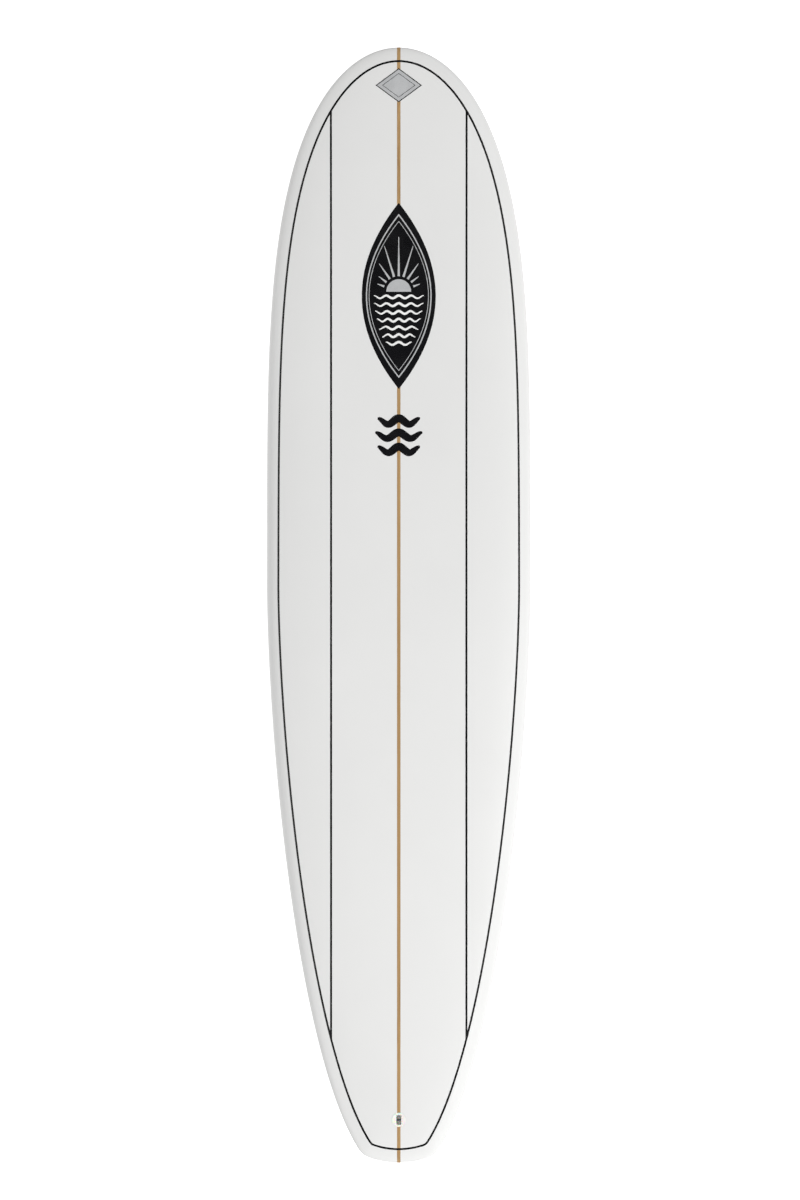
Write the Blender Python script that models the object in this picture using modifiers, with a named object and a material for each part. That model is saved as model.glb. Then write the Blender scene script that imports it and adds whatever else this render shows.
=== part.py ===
"""A 2.59 m longboard surfboard with a two-plus-one fin set, in metres.

Frame: the origin is on the bottom at mid-length, +Y runs to the nose, +Z up through the deck and +X to the right
rail. The board is a foam core split by a wooden stringer and wrapped in a glass laminate. The bottom laminate wraps
the rails and laps onto the deck, and the deck laminate fills the panel inside that lap. A leash plug sits in the
deck. The bottom holds one long fin box, with a fin that slides and is clamped by a screw and a plate, and two short
boxes, each with a fin that pulls out and a grub screw.
"""

import math

import bmesh
import bpy
import numpy as np
from mathutils import Euler, Matrix, Vector

# Plan shape
LENGTH = 2.591
WIDTH = 0.616
HALF_LENGTH = LENGTH / 2
HALF_WIDTH = WIDTH / 2
WIDE_POINT = 0.045  # how far ahead of mid-length the widest point is
NOSE_POWER = 4.05
TAIL_POWER = 1.63
TAIL_ROOT = 2.13
TAIL_OVERRUN = 0.037  # the rail curve aims this far past the tail, where the block cuts it off
BLOCK_RADIUS = 0.21
BLOCK_CORNER = 0.014

# Side shape
THICKNESS = 0.0825
FLAT_SPOT = 0.15  # the bottom has no rocker this far each way from mid-length
NOSE_ROCKER = 0.118
TAIL_ROCKER = 0.068
NOSE_THINNING = 0.62
TAIL_THINNING = 0.58

# Cross-section
CROWN_POWER = 4.0
CROWN_ROOT = 2.4
APEX_NOSE = 0.40  # height of the rail's widest line, as a share of the thickness
APEX_TAIL = 0.26
TUCK_NOSE = 0.055  # how far in from the rail the bottom becomes flat
TUCK_TAIL = 0.030
NOSE_CONCAVE = 0.004
TAIL_VEE = 0.005

# Fairing: away from the rails each height is an average over a disc, so that the deck has no crease
FAIR_START = 0.02
FAIR_RADIUS = 0.04
FAIR_RINGS = (0.35, 0.7, 1.0)
FAIR_SPOKES = 8

# Shell
LAP_WIDE = 0.0275  # the bottom laminate laps this far onto the deck at mid-length
LAP_END = 0.0325  # and this far at the nose and the tail
SEAM = 0.0005
LAMINATE = 0.0012
GAP = 0.0003
STRINGER = 0.008

# Mesh of the hull: rays run out from a spine, and rings follow the outline
NOSE_FAN = 8
BODY_STATIONS = 20
BLOCK_RAYS = 4
NOSE_FOCUS = 0.16
TAIL_FOCUS = 0.085
RAIL_LEVELS = (0.0, 0.0018, 0.006, 0.014)
TUCK_LEVELS = (0.0018, 0.006, 0.014, 0.030)
INNER_SHARES = (0.72, 0.4)  # how far out from the spine the inner rings are

# Leash plug
PLUG_FROM_TAIL = 0.101
PLUG_RADIUS = 0.0165
PLUG_FLANGE = 0.0018
PLUG_CUP_RADIUS = 0.0135
PLUG_DEPTH = 0.020
PLUG_PROUD = 0.0004
SLOT_WIDTH = 0.0115
SLOT_LENGTH = 0.0225
SLOT_DEPTH = 0.017
LEASH_PIN_RADIUS = 0.002
LEASH_PIN_LENGTH = 0.020
LEASH_PIN_DEPTH = 0.0055
PIN_CLEARANCE = 0.0003

# Centre fin box, with its track for the pin and the plate
BOX_FROM_TAIL = 0.302
BOX_LENGTH = 0.274
BOX_WIDTH = 0.024
BOX_DEPTH = 0.026
BOX_LIP = 0.003
FLANGE = 0.0016
PROUD = 0.0003
TRACK_SLOT_LENGTH = 0.254
TRACK_SLOT_WIDTH = 0.010
TRACK_SLOT_DEPTH = 0.021
TRACK_WIDTH = 0.015
TRACK_TOP = 0.0066
TRACK_HEIGHT = 0.006
NOTCH_LENGTH = 0.015

# Centre fin
FIN_OFFSET = -0.030
FIN_DEPTH = 0.180
FIN_CHORD = 0.130
FIN_RAKE = 0.062
FIN_THICKNESS = 0.0092
TAB_TOP = 0.0004
TAB_REAR = -0.066
TAB_FRONT = 0.062
TAB_DEPTH = 0.0195
EAR_FRONT = 0.085
EAR_TOP = 0.0008
EAR_DEPTH = 0.0058
FIN_PIN_Y = -0.060
FIN_PIN_Z = 0.0096
FIN_PIN_RADIUS = 0.0024
FIN_PIN_LENGTH = 0.014
SCREW_Y = 0.076
SCREW_RADIUS = 0.00195
SCREW_END = 0.0115
HEAD_RADIUS = 0.0035
HEAD_TOP = 0.0010
HEAD_HEIGHT = 0.0022
PLATE_SIDE = 0.0135
PLATE_HEIGHT = 0.0026
PLATE_TOP = TRACK_TOP + GAP
DRIVE_SLOT = 0.0011
DRIVE_DEPTH = 0.0010

# Side fin boxes and fins
SIDE_FROM_TAIL = 0.365
SIDE_X = 0.163
TOE = math.radians(2.5)
CANT = math.radians(3)
SIDE_LENGTH = 0.126
SIDE_WIDTH = 0.0135
SIDE_BOX_DEPTH = 0.0195
SIDE_LIP = 0.0012
SIDE_SLOT_LENGTH = 0.104
SIDE_SLOT_WIDTH = 0.0078
SIDE_SLOT_DEPTH = 0.0165
SIDE_SLOT_Y = -0.006
SIDE_TAB_LENGTH = 0.103
SIDE_TAB_THICKNESS = 0.007
SIDE_TAB_DEPTH = 0.0155
SIDE_FIN_DEPTH = 0.098
SIDE_FIN_RAKE = 0.036
GRUB_RADIUS = 0.0023
GRUB_LENGTH = 0.0095
GRUB_TILT = math.radians(35)
GRUB_MOUTH_Y = 0.0535
GRUB_RECESS = 0.0006
HEX_RADIUS = 0.0013
HEX_DEPTH = 0.0028

ROUND = 28  # sides of a round piece
SMALL_ROUND = 20

MATERIALS = {
    "foam": ((0.90, 0.88, 0.80), 0.9, 0.0),
    "stringer_wood": ((0.42, 0.26, 0.13), 0.5, 0.0),
    "laminate": ((0.80, 0.80, 0.78), 0.12, 0.0),
    "plug_plastic": ((0.82, 0.81, 0.78), 0.35, 0.0),
    "stainless": ((0.62, 0.62, 0.62), 0.25, 1.0),
    "brass": ((0.72, 0.52, 0.22), 0.3, 1.0),
    "box_plastic": ((0.80, 0.80, 0.79), 0.4, 0.0),
    "fin_glass": ((0.03, 0.03, 0.035), 0.2, 0.0),
}


# ---------------------------------------------------------------- scene


def clear_scene():
    for obj in list(bpy.data.objects):
        bpy.data.objects.remove(obj)


def new_collection(name):
    collection = bpy.data.collections.new(name)
    bpy.context.scene.collection.children.link(collection)
    return collection


def new_material(name):
    color, roughness, metallic = MATERIALS[name]
    material = bpy.data.materials.new(name)
    material.use_nodes = True
    shader = material.node_tree.nodes["Principled BSDF"]
    shader.inputs["Base Color"].default_value = (*color, 1.0)
    shader.inputs["Roughness"].default_value = roughness
    shader.inputs["Metallic"].default_value = metallic
    return material


def add_object(name, bm, material=None):
    """A part from a bmesh, or a hidden cutter where there is no material."""
    mesh = bpy.data.meshes.new(name)
    bm.to_mesh(mesh)
    bm.free()
    obj = bpy.data.objects.new(name, mesh)
    if material:
        mesh.materials.append(materials[material])
        mesh.shade_smooth()
        mesh.set_sharp_from_angle(angle=math.radians(35))
        parts.objects.link(obj)
    else:
        obj.hide_render = True
        obj.display_type = "WIRE"
        cutters.objects.link(obj)
    return obj


def boolean(obj, other, operation="DIFFERENCE"):
    modifier = obj.modifiers.new(f"{operation.lower()}_{other.name}", "BOOLEAN")
    modifier.operation = operation
    modifier.solver = "EXACT"
    modifier.object = other


def new_empty(name, location, rotation=(0, 0, 0), parent=None):
    """A frame that sub-parts are placed by; a moving piece's joint axis runs through its frame."""
    empty = bpy.data.objects.new(name, None)
    empty.location = location
    empty.rotation_euler = rotation
    empty.parent = parent
    parts.objects.link(empty)
    return empty


def place(frame, *objects):
    for obj in objects:
        obj.parent = frame


# ---------------------------------------------------------------- simple solids


def block(bm, low, high):
    """Adds a box from its lowest to its highest corner."""
    low, high = Vector(low), Vector(high)
    size = Matrix.Diagonal((*(high - low), 1))
    bmesh.ops.create_cube(bm, size=1, matrix=Matrix.Translation((low + high) / 2) @ size)


def rod(bm, radius, start, end, sides=SMALL_ROUND):
    """Adds a cylinder between two points."""
    start, end = Vector(start), Vector(end)
    along = end - start
    turn = along.to_track_quat("Z", "Y").to_matrix().to_4x4()
    bmesh.ops.create_cone(
        bm, segments=sides, radius1=radius, radius2=radius, depth=along.length, cap_ends=True,
        matrix=Matrix.Translation((start + end) / 2) @ turn,
    )


def block_object(name, low, high, material=None):
    bm = bmesh.new()
    block(bm, low, high)
    return add_object(name, bm, material)


def rod_object(name, radius, start, end, material=None, sides=SMALL_ROUND):
    bm = bmesh.new()
    rod(bm, radius, start, end, sides)
    return add_object(name, bm, material)


def capsule_object(name, width, length, bottom, top, material=None):
    """A slab whose ends along Y are round."""
    bm = bmesh.new()
    block(bm, (-width / 2, -length / 2, bottom), (width / 2, length / 2, top))
    upright = [edge for edge in bm.edges if edge.verts[0].co.xy == edge.verts[1].co.xy]
    bmesh.ops.bevel(bm, geom=upright, offset=width * 0.499, segments=6, profile=0.5, affect="EDGES")
    return add_object(name, bm, material)


# ---------------------------------------------------------------- hull shape


def block_y(x):
    """Where the arc of the tail block is, across the board."""
    return BLOCK_RADIUS - np.sqrt(BLOCK_RADIUS**2 - np.minimum(x, BLOCK_RADIUS) ** 2) - HALF_LENGTH


def outline_right():
    """The right half of the plan outline as points, from the nose tip to the middle of the tail."""
    angle = np.linspace(0, math.pi / 2, 240)
    nose_run = HALF_LENGTH - WIDE_POINT
    nose_y = WIDE_POINT + nose_run * np.cos(angle) ** (2 / NOSE_POWER)
    nose = np.column_stack([HALF_WIDTH * np.sin(angle), nose_y])
    angle = angle[:0:-1]
    tail_run = HALF_LENGTH + WIDE_POINT + TAIL_OVERRUN
    tail_y = WIDE_POINT - tail_run * np.cos(angle) ** (2 / TAIL_POWER)
    rail = np.column_stack([HALF_WIDTH * np.sin(angle) ** (2 / TAIL_ROOT), tail_y])
    rail = rail[rail[:, 1] > block_y(rail[:, 0])]
    corner = rail[-1]
    across = np.linspace(corner[0], 0, 60)
    tail = np.column_stack([across, block_y(across)])
    rail = rail[np.hypot(*(rail - corner).T) > BLOCK_CORNER]
    tail = tail[np.hypot(*(tail - corner).T) > BLOCK_CORNER]
    t = np.linspace(0, 1, 14)[1:-1, None]
    bend = (1 - t) ** 2 * rail[-1] + 2 * t * (1 - t) * corner + t**2 * tail[0]
    return np.vstack([nose, rail[1:], bend, tail]), corner


def edge_distance(points):
    """How far plan points are inside the outline, and negative outside it."""
    folded = np.column_stack([np.abs(points[:, 0]), points[:, 1]])
    along = np.diff(outline, axis=0)
    offset = folded[:, None] - outline[:-1]
    share = np.clip((offset * along).sum(-1) / (along**2).sum(-1), 0, 1)
    distance = np.linalg.norm(offset - share[..., None] * along, axis=-1).min(-1)
    rail = np.interp(folded[:, 1], outline[::-1, 1], outline[::-1, 0], left=0, right=0)
    return np.where(folded[:, 0] < rail, distance, -distance)


def blend(value, start, end):
    """0 at and before start, 1 at and after end, smooth between."""
    t = np.clip((value - start) / (end - start), 0, 1)
    return t * t * (3 - 2 * t)


def station(y):
    """The side shape at y: rocker, thickness, apex height, tuck, concave and vee."""
    t = y / HALF_LENGTH
    bend = np.maximum(np.abs(y) - FLAT_SPOT, 0) / (HALF_LENGTH - FLAT_SPOT)
    toward_nose = blend(t, -0.9, 0.6)
    rocker = np.where(t > 0, NOSE_ROCKER * bend**2.3, TAIL_ROCKER * bend**1.9)
    thinning = np.where(t > 0, NOSE_THINNING * np.abs(t) ** 2.4, TAIL_THINNING * t**2)
    thickness = THICKNESS * (1 - thinning)
    apex = thickness * (APEX_TAIL + (APEX_NOSE - APEX_TAIL) * toward_nose)
    tuck = TUCK_TAIL + (TUCK_NOSE - TUCK_TAIL) * toward_nose
    concave = NOSE_CONCAVE * blend(t, 0.1, 0.6) * (1 - blend(t, 0.75, 1.0))
    vee = TAIL_VEE * blend(-t, 0.2, 0.9)
    return rocker, thickness, apex, tuck, concave, vee


def round_over(share, power, root):
    """Rises from 0 with an upright tangent to 1 with a level one."""
    return (1 - (1 - np.clip(share, 0, 1)) ** power) ** (1 / root)


def rough_heights(points):
    """The deck's and the bottom's height at plan points, with a crease where the nearest rail changes."""
    rocker, thickness, apex, tuck, concave, vee = station(points[:, 1])
    edge = np.maximum(edge_distance(points), 0)
    x = np.abs(points[:, 0])
    across = x / np.maximum(x + edge, 1e-9)
    rail = rocker + vee - concave + apex
    deck = rail + (rocker + thickness - rail) * round_over(edge / HALF_WIDTH, CROWN_POWER, CROWN_ROOT)
    flat = rocker + vee * across**1.4 - concave * across**2
    bottom = rail - (rail - flat) * round_over(edge / tuck, 2.2, 2.0)
    return np.array([deck, bottom])


def heights(points):
    """The deck's and the bottom's height at plan points, faired by averaging over a disc clear of the rails."""
    points = np.asarray(points, float).reshape(-1, 2)
    radius = np.clip((edge_distance(points) - FAIR_START) / 2, 0, FAIR_RADIUS)[:, None]
    total = rough_heights(points)
    for ring, share in enumerate(FAIR_RINGS):
        for spoke in range(FAIR_SPOKES):
            angle = (spoke + ring % 2 / 2) * 2 * math.pi / FAIR_SPOKES
            total += rough_heights(points + share * radius * (math.cos(angle), math.sin(angle)))
    return total / (1 + len(FAIR_RINGS) * FAIR_SPOKES)


def rays():
    """(spine point, direction) for the right half, from the nose tip round to the middle of the tail."""
    nose = np.array([0, HALF_LENGTH - NOSE_FOCUS])
    tail = np.array([0, TAIL_FOCUS - HALF_LENGTH])
    corner_angle = math.atan2(tail_corner[1] - tail[1], tail_corner[0])
    found = [(nose, a) for a in np.linspace(math.pi / 2, 0, NOSE_FAN + 1)[:-1]]
    share = (1 - np.cos(np.linspace(0, math.pi, BODY_STATIONS + 1))) / 2
    share = 0.5 * share + 0.5 * np.linspace(0, 1, BODY_STATIONS + 1)
    found += [(nose + s * (tail - nose), 0.0) for s in share]
    found += [(tail, a) for a in np.linspace(0, corner_angle, 4)[1:]]
    found += [(tail, a) for a in np.linspace(corner_angle, -math.pi / 2, BLOCK_RAYS + 1)[1:]]
    return [(q, np.array([math.cos(a), math.sin(a)])) for q, a in found]


def lap_width(y):
    return LAP_WIDE + (LAP_END - LAP_WIDE) * np.abs(y / HALF_LENGTH) ** 1.5


def plan_ring(level, lap=False):
    """A closed ring of plan points at one distance inside the outline, or inside the lap's edge, clockwise from the
    nose tip."""
    origin, direction = (np.array(side) for side in zip(*hull_rays))
    near = np.zeros((len(origin), 1))
    far = np.full((len(origin), 1), WIDTH)
    for _ in range(40):
        middle = (near + far) / 2
        points = origin + middle * direction
        inside = edge_distance(points) - (lap_width(points[:, 1]) if lap else 0) > level
        near = np.where(inside[:, None], middle, near)
        far = np.where(inside[:, None], far, middle)
    right = origin + near * direction
    return np.vstack([right, right[-2:0:-1] * (-1, 1)])


def inner_ring(outer, share):
    """A ring between the spine, at share 0, and an outer ring, at share 1."""
    right = np.array([q for q, _ in hull_rays])
    spine = np.vstack([right, right[-2:0:-1]])
    return spine + share * (outer - spine)


def lift(ring, side):
    """Plan points raised to the deck (side 0) or the bottom (side 1)."""
    return np.column_stack([ring, heights(ring)[side]])


def loft(rings):
    """A surface through closed rings of equal length; points that coincide are welded."""
    bm = bmesh.new()
    rows = [[bm.verts.new(p) for p in ring] for ring in rings]
    count = len(rows[0])
    for row, following in zip(rows, rows[1:]):
        for i in range(count):
            j = (i + 1) % count
            bm.faces.new((row[i], row[j], following[j], following[i]))
    bmesh.ops.remove_doubles(bm, verts=bm.verts, dist=1e-6)
    bmesh.ops.triangulate(bm, faces=bm.faces, quad_method="SHORT_EDGE")
    return bm


def hull_rings():
    """(deck panel, lap and rail, bottom) as lists of rings, each running on from the one before."""
    panel_edge = plan_ring(SEAM / 2, lap=True)
    lap_edge = plan_ring(-SEAM / 2, lap=True)
    rail = [plan_ring(level) for level in reversed(RAIL_LEVELS)]
    tuck = [plan_ring(level) for level in TUCK_LEVELS]
    inner = [*INNER_SHARES, 0.0]
    panel = [inner_ring(panel_edge, share) for share in reversed(inner)] + [panel_edge]
    bottom = tuck + [inner_ring(tuck[-1], share) for share in inner]
    return (
        [lift(ring, 0) for ring in panel],
        [lift(ring, 0) for ring in [lap_edge, *rail]],
        [lift(ring, 1) for ring in bottom],
    )


# ---------------------------------------------------------------- hull pieces


def shell(name, rings, material):
    """A laminate: an open surface with its thickness on the inner side."""
    obj = add_object(name, loft(rings), material)
    solidify = obj.modifiers.new("laminate", "SOLIDIFY")
    solidify.thickness = LAMINATE
    solidify.offset = -1
    return obj


def core_piece(name, rings, material):
    """The space inside the laminate, as a closed body that is cut down afterwards."""
    obj = add_object(name, loft(rings), material)
    shrink = obj.modifiers.new("inside_laminate", "DISPLACE")
    shrink.strength = -(LAMINATE + GAP)
    shrink.mid_level = 0
    return obj


def build_hull():
    panel, lap, bottom = hull_rings()
    whole = panel + lap + bottom
    hull = {
        "deck_laminate": shell("deck_laminate", panel, "laminate"),
        "bottom_laminate": shell("bottom_laminate", lap + bottom, "laminate"),
        "stringer": core_piece("stringer", whole, "stringer_wood"),
        "foam_left": core_piece("foam_left", whole, "foam"),
        "foam_right": core_piece("foam_right", whole, "foam"),
    }
    half = STRINGER / 2
    tall = 0.3
    slab = block_object("cut_slab", (-half, -LENGTH, -tall), (half, LENGTH, tall))
    boolean(hull["stringer"], slab, "INTERSECT")
    right_side = block_object("cut_right_side", (-half - GAP, -LENGTH, -tall), (WIDTH, LENGTH, tall))
    boolean(hull["foam_left"], right_side)
    left_side = block_object("cut_left_side", (-WIDTH, -LENGTH, -tall), (half + GAP, LENGTH, tall))
    boolean(hull["foam_right"], left_side)
    return hull


def frame_on(name, x, y, deck, toe=0.0):
    """An empty on the deck, or on the bottom, with its +Z pointing up through the board at right angles to it."""
    step = 0.02
    around = [(x, y), (x + step, y), (x - step, y), (x, y + step), (x, y - step)]
    z, right, left, front, rear = (float(h) for h in heights(around)[0 if deck else 1])
    lean = math.atan((right - left) / (2 * step))
    pitch = math.atan((front - rear) / (2 * step))
    upright = Euler((pitch, -lean, 0)).to_matrix()
    return new_empty(name, (x, y, z), (upright @ Matrix.Rotation(toe, 3, "Z")).to_euler())


# ---------------------------------------------------------------- leash plug


def build_leash_plug(hull):
    frame = frame_on("leash_plug_frame", 0, PLUG_FROM_TAIL - HALF_LENGTH, deck=True)
    top = PLUG_PROUD
    flange_bottom = top - PLUG_FLANGE
    cup = rod_object("cut_cup_body", PLUG_CUP_RADIUS, (0, 0, -PLUG_DEPTH), (0, 0, top - 0.0005), sides=ROUND)
    plug = rod_object(
        "leash_plug", PLUG_RADIUS, (0, 0, flange_bottom), (0, 0, top), "plug_plastic", sides=ROUND
    )
    hollow = capsule_object("cut_leash_slot", SLOT_WIDTH, SLOT_LENGTH, -SLOT_DEPTH, 0.01)
    bore_half = LEASH_PIN_LENGTH / 2 + PIN_CLEARANCE
    pin_z = -LEASH_PIN_DEPTH
    bore = rod_object(
        "cut_pin_bore", LEASH_PIN_RADIUS + PIN_CLEARANCE, (-bore_half, 0, pin_z), (bore_half, 0, pin_z)
    )
    boolean(plug, cup, "UNION")
    boolean(plug, hollow)
    boolean(plug, bore)
    half_pin = LEASH_PIN_LENGTH / 2
    pin = rod_object("leash_pin", LEASH_PIN_RADIUS, (-half_pin, 0, pin_z), (half_pin, 0, pin_z), "stainless")
    bm = bmesh.new()
    rod(bm, PLUG_RADIUS + GAP, (0, 0, flange_bottom - GAP), (0, 0, 0.01), ROUND)
    flange_pocket = add_object("cut_plug_flange", bm)
    cup_pocket = rod_object(
        "cut_plug_cup", PLUG_CUP_RADIUS + GAP, (0, 0, -PLUG_DEPTH - GAP), (0, 0, 0.01), sides=ROUND
    )
    place(frame, plug, pin, cup, hollow, bore, flange_pocket, cup_pocket)
    for name in ("deck_laminate", "stringer", "foam_left", "foam_right"):
        boolean(hull[name], flange_pocket)
        boolean(hull[name], cup_pocket)


# ---------------------------------------------------------------- fins


def foil_section(front, rear, z, thickness, flat_side, lean):
    """A closed fin section of 16 points at height z. flat_side is 0 for a foil on both sides, or the sign of the
    side that stays flat."""
    points = []
    steps = 8
    for side in (1, -1):
        for step in range(steps):
            t = step / steps if side > 0 else 1 - step / steps
            bulge = 2.6 * math.sqrt(t) * (1 - t) ** 0.9 * 0.5
            if side < 0 and step == 0:
                t, bulge = 1.0, 0.0
            half = thickness * (0.06 + 0.94 * min(bulge, 0.5) / 0.5) / 2
            if flat_side and side == flat_side:
                x = side * thickness / 2
            elif flat_side:
                x = side * (2 * half - thickness / 2)
            else:
                x = side * half
            points.append((x + lean, front + t * (rear - front), z))
    return points


def fin_blade(bm, depth, chord, rake, thickness, flat_side=0, cant=0.0, root_z=0.002):
    """Adds a swept blade that hangs down from its root chord, with its front towards +Y."""
    tip_y = -chord / 2 - rake
    shares = [0.0, 0.12, 0.27, 0.43, 0.58, 0.72, 0.84, 0.93, 0.985]
    rings = [foil_section(chord / 2, -chord / 2, root_z, thickness, flat_side, 0.0)]
    for share in shares:
        front = tip_y + (chord / 2 - tip_y) * (1 - share**1.7) ** 0.72
        rear = tip_y + rake * (1 - share**2.2) ** 0.62
        z = -depth * share
        rings.append(
            foil_section(front, rear, z, thickness * (1 - 0.62 * share), flat_side, math.tan(cant) * -z)
        )
    rows = [[bm.verts.new(p) for p in ring] for ring in rings]
    count = len(rows[0])
    for row, following in zip(rows, rows[1:]):
        for i in range(count):
            j = (i + 1) % count
            bm.faces.new((row[i], row[j], following[j], following[i]))
    bm.faces.new(rows[0][::-1])
    bm.faces.new(rows[-1])
    bmesh.ops.recalc_face_normals(bm, faces=bm.faces)


def slotted_box(name, length, width, depth, lip, slot, extra, frame, hull):
    """A fin box with a round-ended flange, flush in the bottom, and the pocket for it in the hull."""
    body = capsule_object(name, width + 2 * lip, length, -PROUD, FLANGE - PROUD, "box_plastic")
    well = capsule_object(f"cut_{name}_well", width, length - 2 * lip, 0, depth)
    boolean(body, well, "UNION")
    for cutter in (slot, *extra):
        boolean(body, cutter)
    flange_pocket = capsule_object(
        f"cut_{name}_flange", width + 2 * lip + 2 * GAP, length + 2 * GAP, -0.01, FLANGE - PROUD + GAP
    )
    well_pocket = capsule_object(
        f"cut_{name}_pocket", width + 2 * GAP, length - 2 * lip + 2 * GAP, -0.01, depth + GAP
    )
    place(frame, body, well, slot, *extra, flange_pocket, well_pocket)
    for piece in hull:
        boolean(piece, flange_pocket)
        boolean(piece, well_pocket)
    return body


def build_center_box(hull):
    frame = frame_on("center_box_frame", 0, BOX_FROM_TAIL - HALF_LENGTH, deck=False)
    half_slot = TRACK_SLOT_LENGTH / 2
    half_track = TRACK_WIDTH / 2
    slot = block_object(
        "cut_track_slot",
        (-TRACK_SLOT_WIDTH / 2, -half_slot, -0.01),
        (TRACK_SLOT_WIDTH / 2, half_slot, TRACK_SLOT_DEPTH),
    )
    track = block_object(
        "cut_track", (-half_track, -half_slot, TRACK_TOP), (half_track, half_slot, TRACK_TOP + TRACK_HEIGHT)
    )
    notch = block_object(
        "cut_notch",
        (-half_track, -NOTCH_LENGTH / 2, -0.01),
        (half_track, NOTCH_LENGTH / 2, TRACK_TOP + TRACK_HEIGHT / 2),
    )
    pieces = [hull[name] for name in ("bottom_laminate", "stringer", "foam_left", "foam_right")]
    slotted_box(
        "center_fin_box", BOX_LENGTH, BOX_WIDTH, BOX_DEPTH, BOX_LIP, slot, (track, notch), frame, pieces
    )
    return frame


def build_center_fin(box_frame):
    """The long fin with its cross pin, and the screw and plate that clamp its front ear to the track."""
    frame = new_empty("center_fin_frame", (0, FIN_OFFSET, 0), parent=box_frame)
    half = FIN_THICKNESS / 2
    bm = bmesh.new()
    fin_blade(bm, FIN_DEPTH, FIN_CHORD, FIN_RAKE, FIN_THICKNESS)
    fin = add_object("center_fin", bm, "fin_glass")
    tab = block_object("cut_fin_tab", (-half, TAB_REAR, TAB_TOP), (half, TAB_FRONT, TAB_DEPTH))
    ear = block_object("cut_fin_ear", (-half, TAB_FRONT - 0.01, EAR_TOP), (half, EAR_FRONT, EAR_DEPTH))
    boolean(fin, tab, "UNION")
    boolean(fin, ear, "UNION")
    half_pin = FIN_PIN_LENGTH / 2
    pin_ends = ((-half_pin, FIN_PIN_Y, FIN_PIN_Z), (half_pin, FIN_PIN_Y, FIN_PIN_Z))
    pin = rod_object("center_fin_pin", FIN_PIN_RADIUS, *pin_ends, "brass")
    pin_bore = rod_object("cut_fin_pin_bore", FIN_PIN_RADIUS + GAP, *pin_ends)
    boolean(fin, pin_bore)
    place(frame, fin, tab, ear, pin, pin_bore)
    build_fin_screw(frame, fin)


def build_fin_screw(fin_frame, fin):
    frame = new_empty("center_screw_frame", (0, SCREW_Y, 0), parent=fin_frame)
    head_bottom = HEAD_TOP + HEAD_HEIGHT
    outside, inside = -0.01, 0.02
    shank_bore = rod_object(
        "cut_screw_bore", SCREW_RADIUS + PIN_CLEARANCE, (0, 0, outside), (0, 0, inside)
    )
    head_bore = rod_object("cut_head_bore", HEAD_RADIUS + GAP, (0, 0, outside), (0, 0, head_bottom + GAP))
    boolean(fin, shank_bore)
    boolean(fin, head_bore)
    screw = rod_object("center_fin_screw", HEAD_RADIUS, (0, 0, HEAD_TOP), (0, 0, head_bottom), "stainless")
    shank = rod_object("cut_screw_shank", SCREW_RADIUS, (0, 0, head_bottom - 0.0005), (0, 0, SCREW_END))
    drive = block_object(
        "cut_screw_drive", (-0.01, -DRIVE_SLOT / 2, outside), (0.01, DRIVE_SLOT / 2, HEAD_TOP + DRIVE_DEPTH)
    )
    boolean(screw, shank, "UNION")
    boolean(screw, drive)
    half = PLATE_SIDE / 2
    plate_bottom = PLATE_TOP + PLATE_HEIGHT
    plate = block_object("center_fin_plate", (-half, -half, PLATE_TOP), (half, half, plate_bottom), "brass")
    boolean(plate, shank_bore)
    place(frame, shank_bore, head_bore, screw, shank, drive, plate)


def build_side_fin(side, label, hull):
    """One short box with its fin and grub screw. side is -1 on the left and 1 on the right."""
    frame = frame_on(
        f"side_box_frame_{label}", side * SIDE_X, SIDE_FROM_TAIL - HALF_LENGTH, deck=False, toe=side * TOE
    )
    slot_rear = SIDE_SLOT_Y - SIDE_SLOT_LENGTH / 2
    slot = block_object(
        f"cut_side_slot_{label}",
        (-SIDE_SLOT_WIDTH / 2, slot_rear, -0.01),
        (SIDE_SLOT_WIDTH / 2, slot_rear + SIDE_SLOT_LENGTH, SIDE_SLOT_DEPTH),
    )
    foam = hull["foam_left" if side < 0 else "foam_right"]
    box = slotted_box(
        f"side_fin_box_{label}", SIDE_LENGTH, SIDE_WIDTH, SIDE_BOX_DEPTH, SIDE_LIP, slot, (), frame,
        (hull["bottom_laminate"], foam),
    )
    bm = bmesh.new()
    fin_blade(
        bm, SIDE_FIN_DEPTH, SIDE_TAB_LENGTH, SIDE_FIN_RAKE, SIDE_TAB_THICKNESS,
        flat_side=-side, cant=side * CANT,
    )
    bmesh.ops.translate(bm, verts=bm.verts, vec=(0, SIDE_SLOT_Y, 0))
    fin = add_object(f"side_fin_{label}", bm, "fin_glass")
    half_tab = SIDE_TAB_THICKNESS / 2
    tab_rear = SIDE_SLOT_Y - SIDE_TAB_LENGTH / 2
    tab = block_object(
        f"cut_side_tab_{label}",
        (-half_tab, tab_rear, TAB_TOP),
        (half_tab, tab_rear + SIDE_TAB_LENGTH, SIDE_TAB_DEPTH),
    )
    boolean(fin, tab, "UNION")
    place(frame, fin, tab)
    build_grub_screw(label, frame, box)


def build_grub_screw(label, box_frame, box):
    """The slanted screw that presses on the front of a side fin's tab."""
    frame = new_empty(
        f"grub_frame_{label}", (0, GRUB_MOUTH_Y, -PROUD), rotation=(GRUB_TILT, 0, 0), parent=box_frame
    )
    end = GRUB_RECESS + GRUB_LENGTH
    bore = rod_object(f"cut_grub_bore_{label}", GRUB_RADIUS + GAP, (0, 0, -0.01), (0, 0, end + GAP))
    boolean(box, bore)
    grub = rod_object(f"side_fin_screw_{label}", GRUB_RADIUS, (0, 0, GRUB_RECESS), (0, 0, end), "stainless")
    socket = rod_object(f"cut_hex_{label}", HEX_RADIUS, (0, 0, -0.002), (0, 0, HEX_DEPTH), sides=6)
    boolean(grub, socket)
    place(frame, bore, grub, socket)


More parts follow.
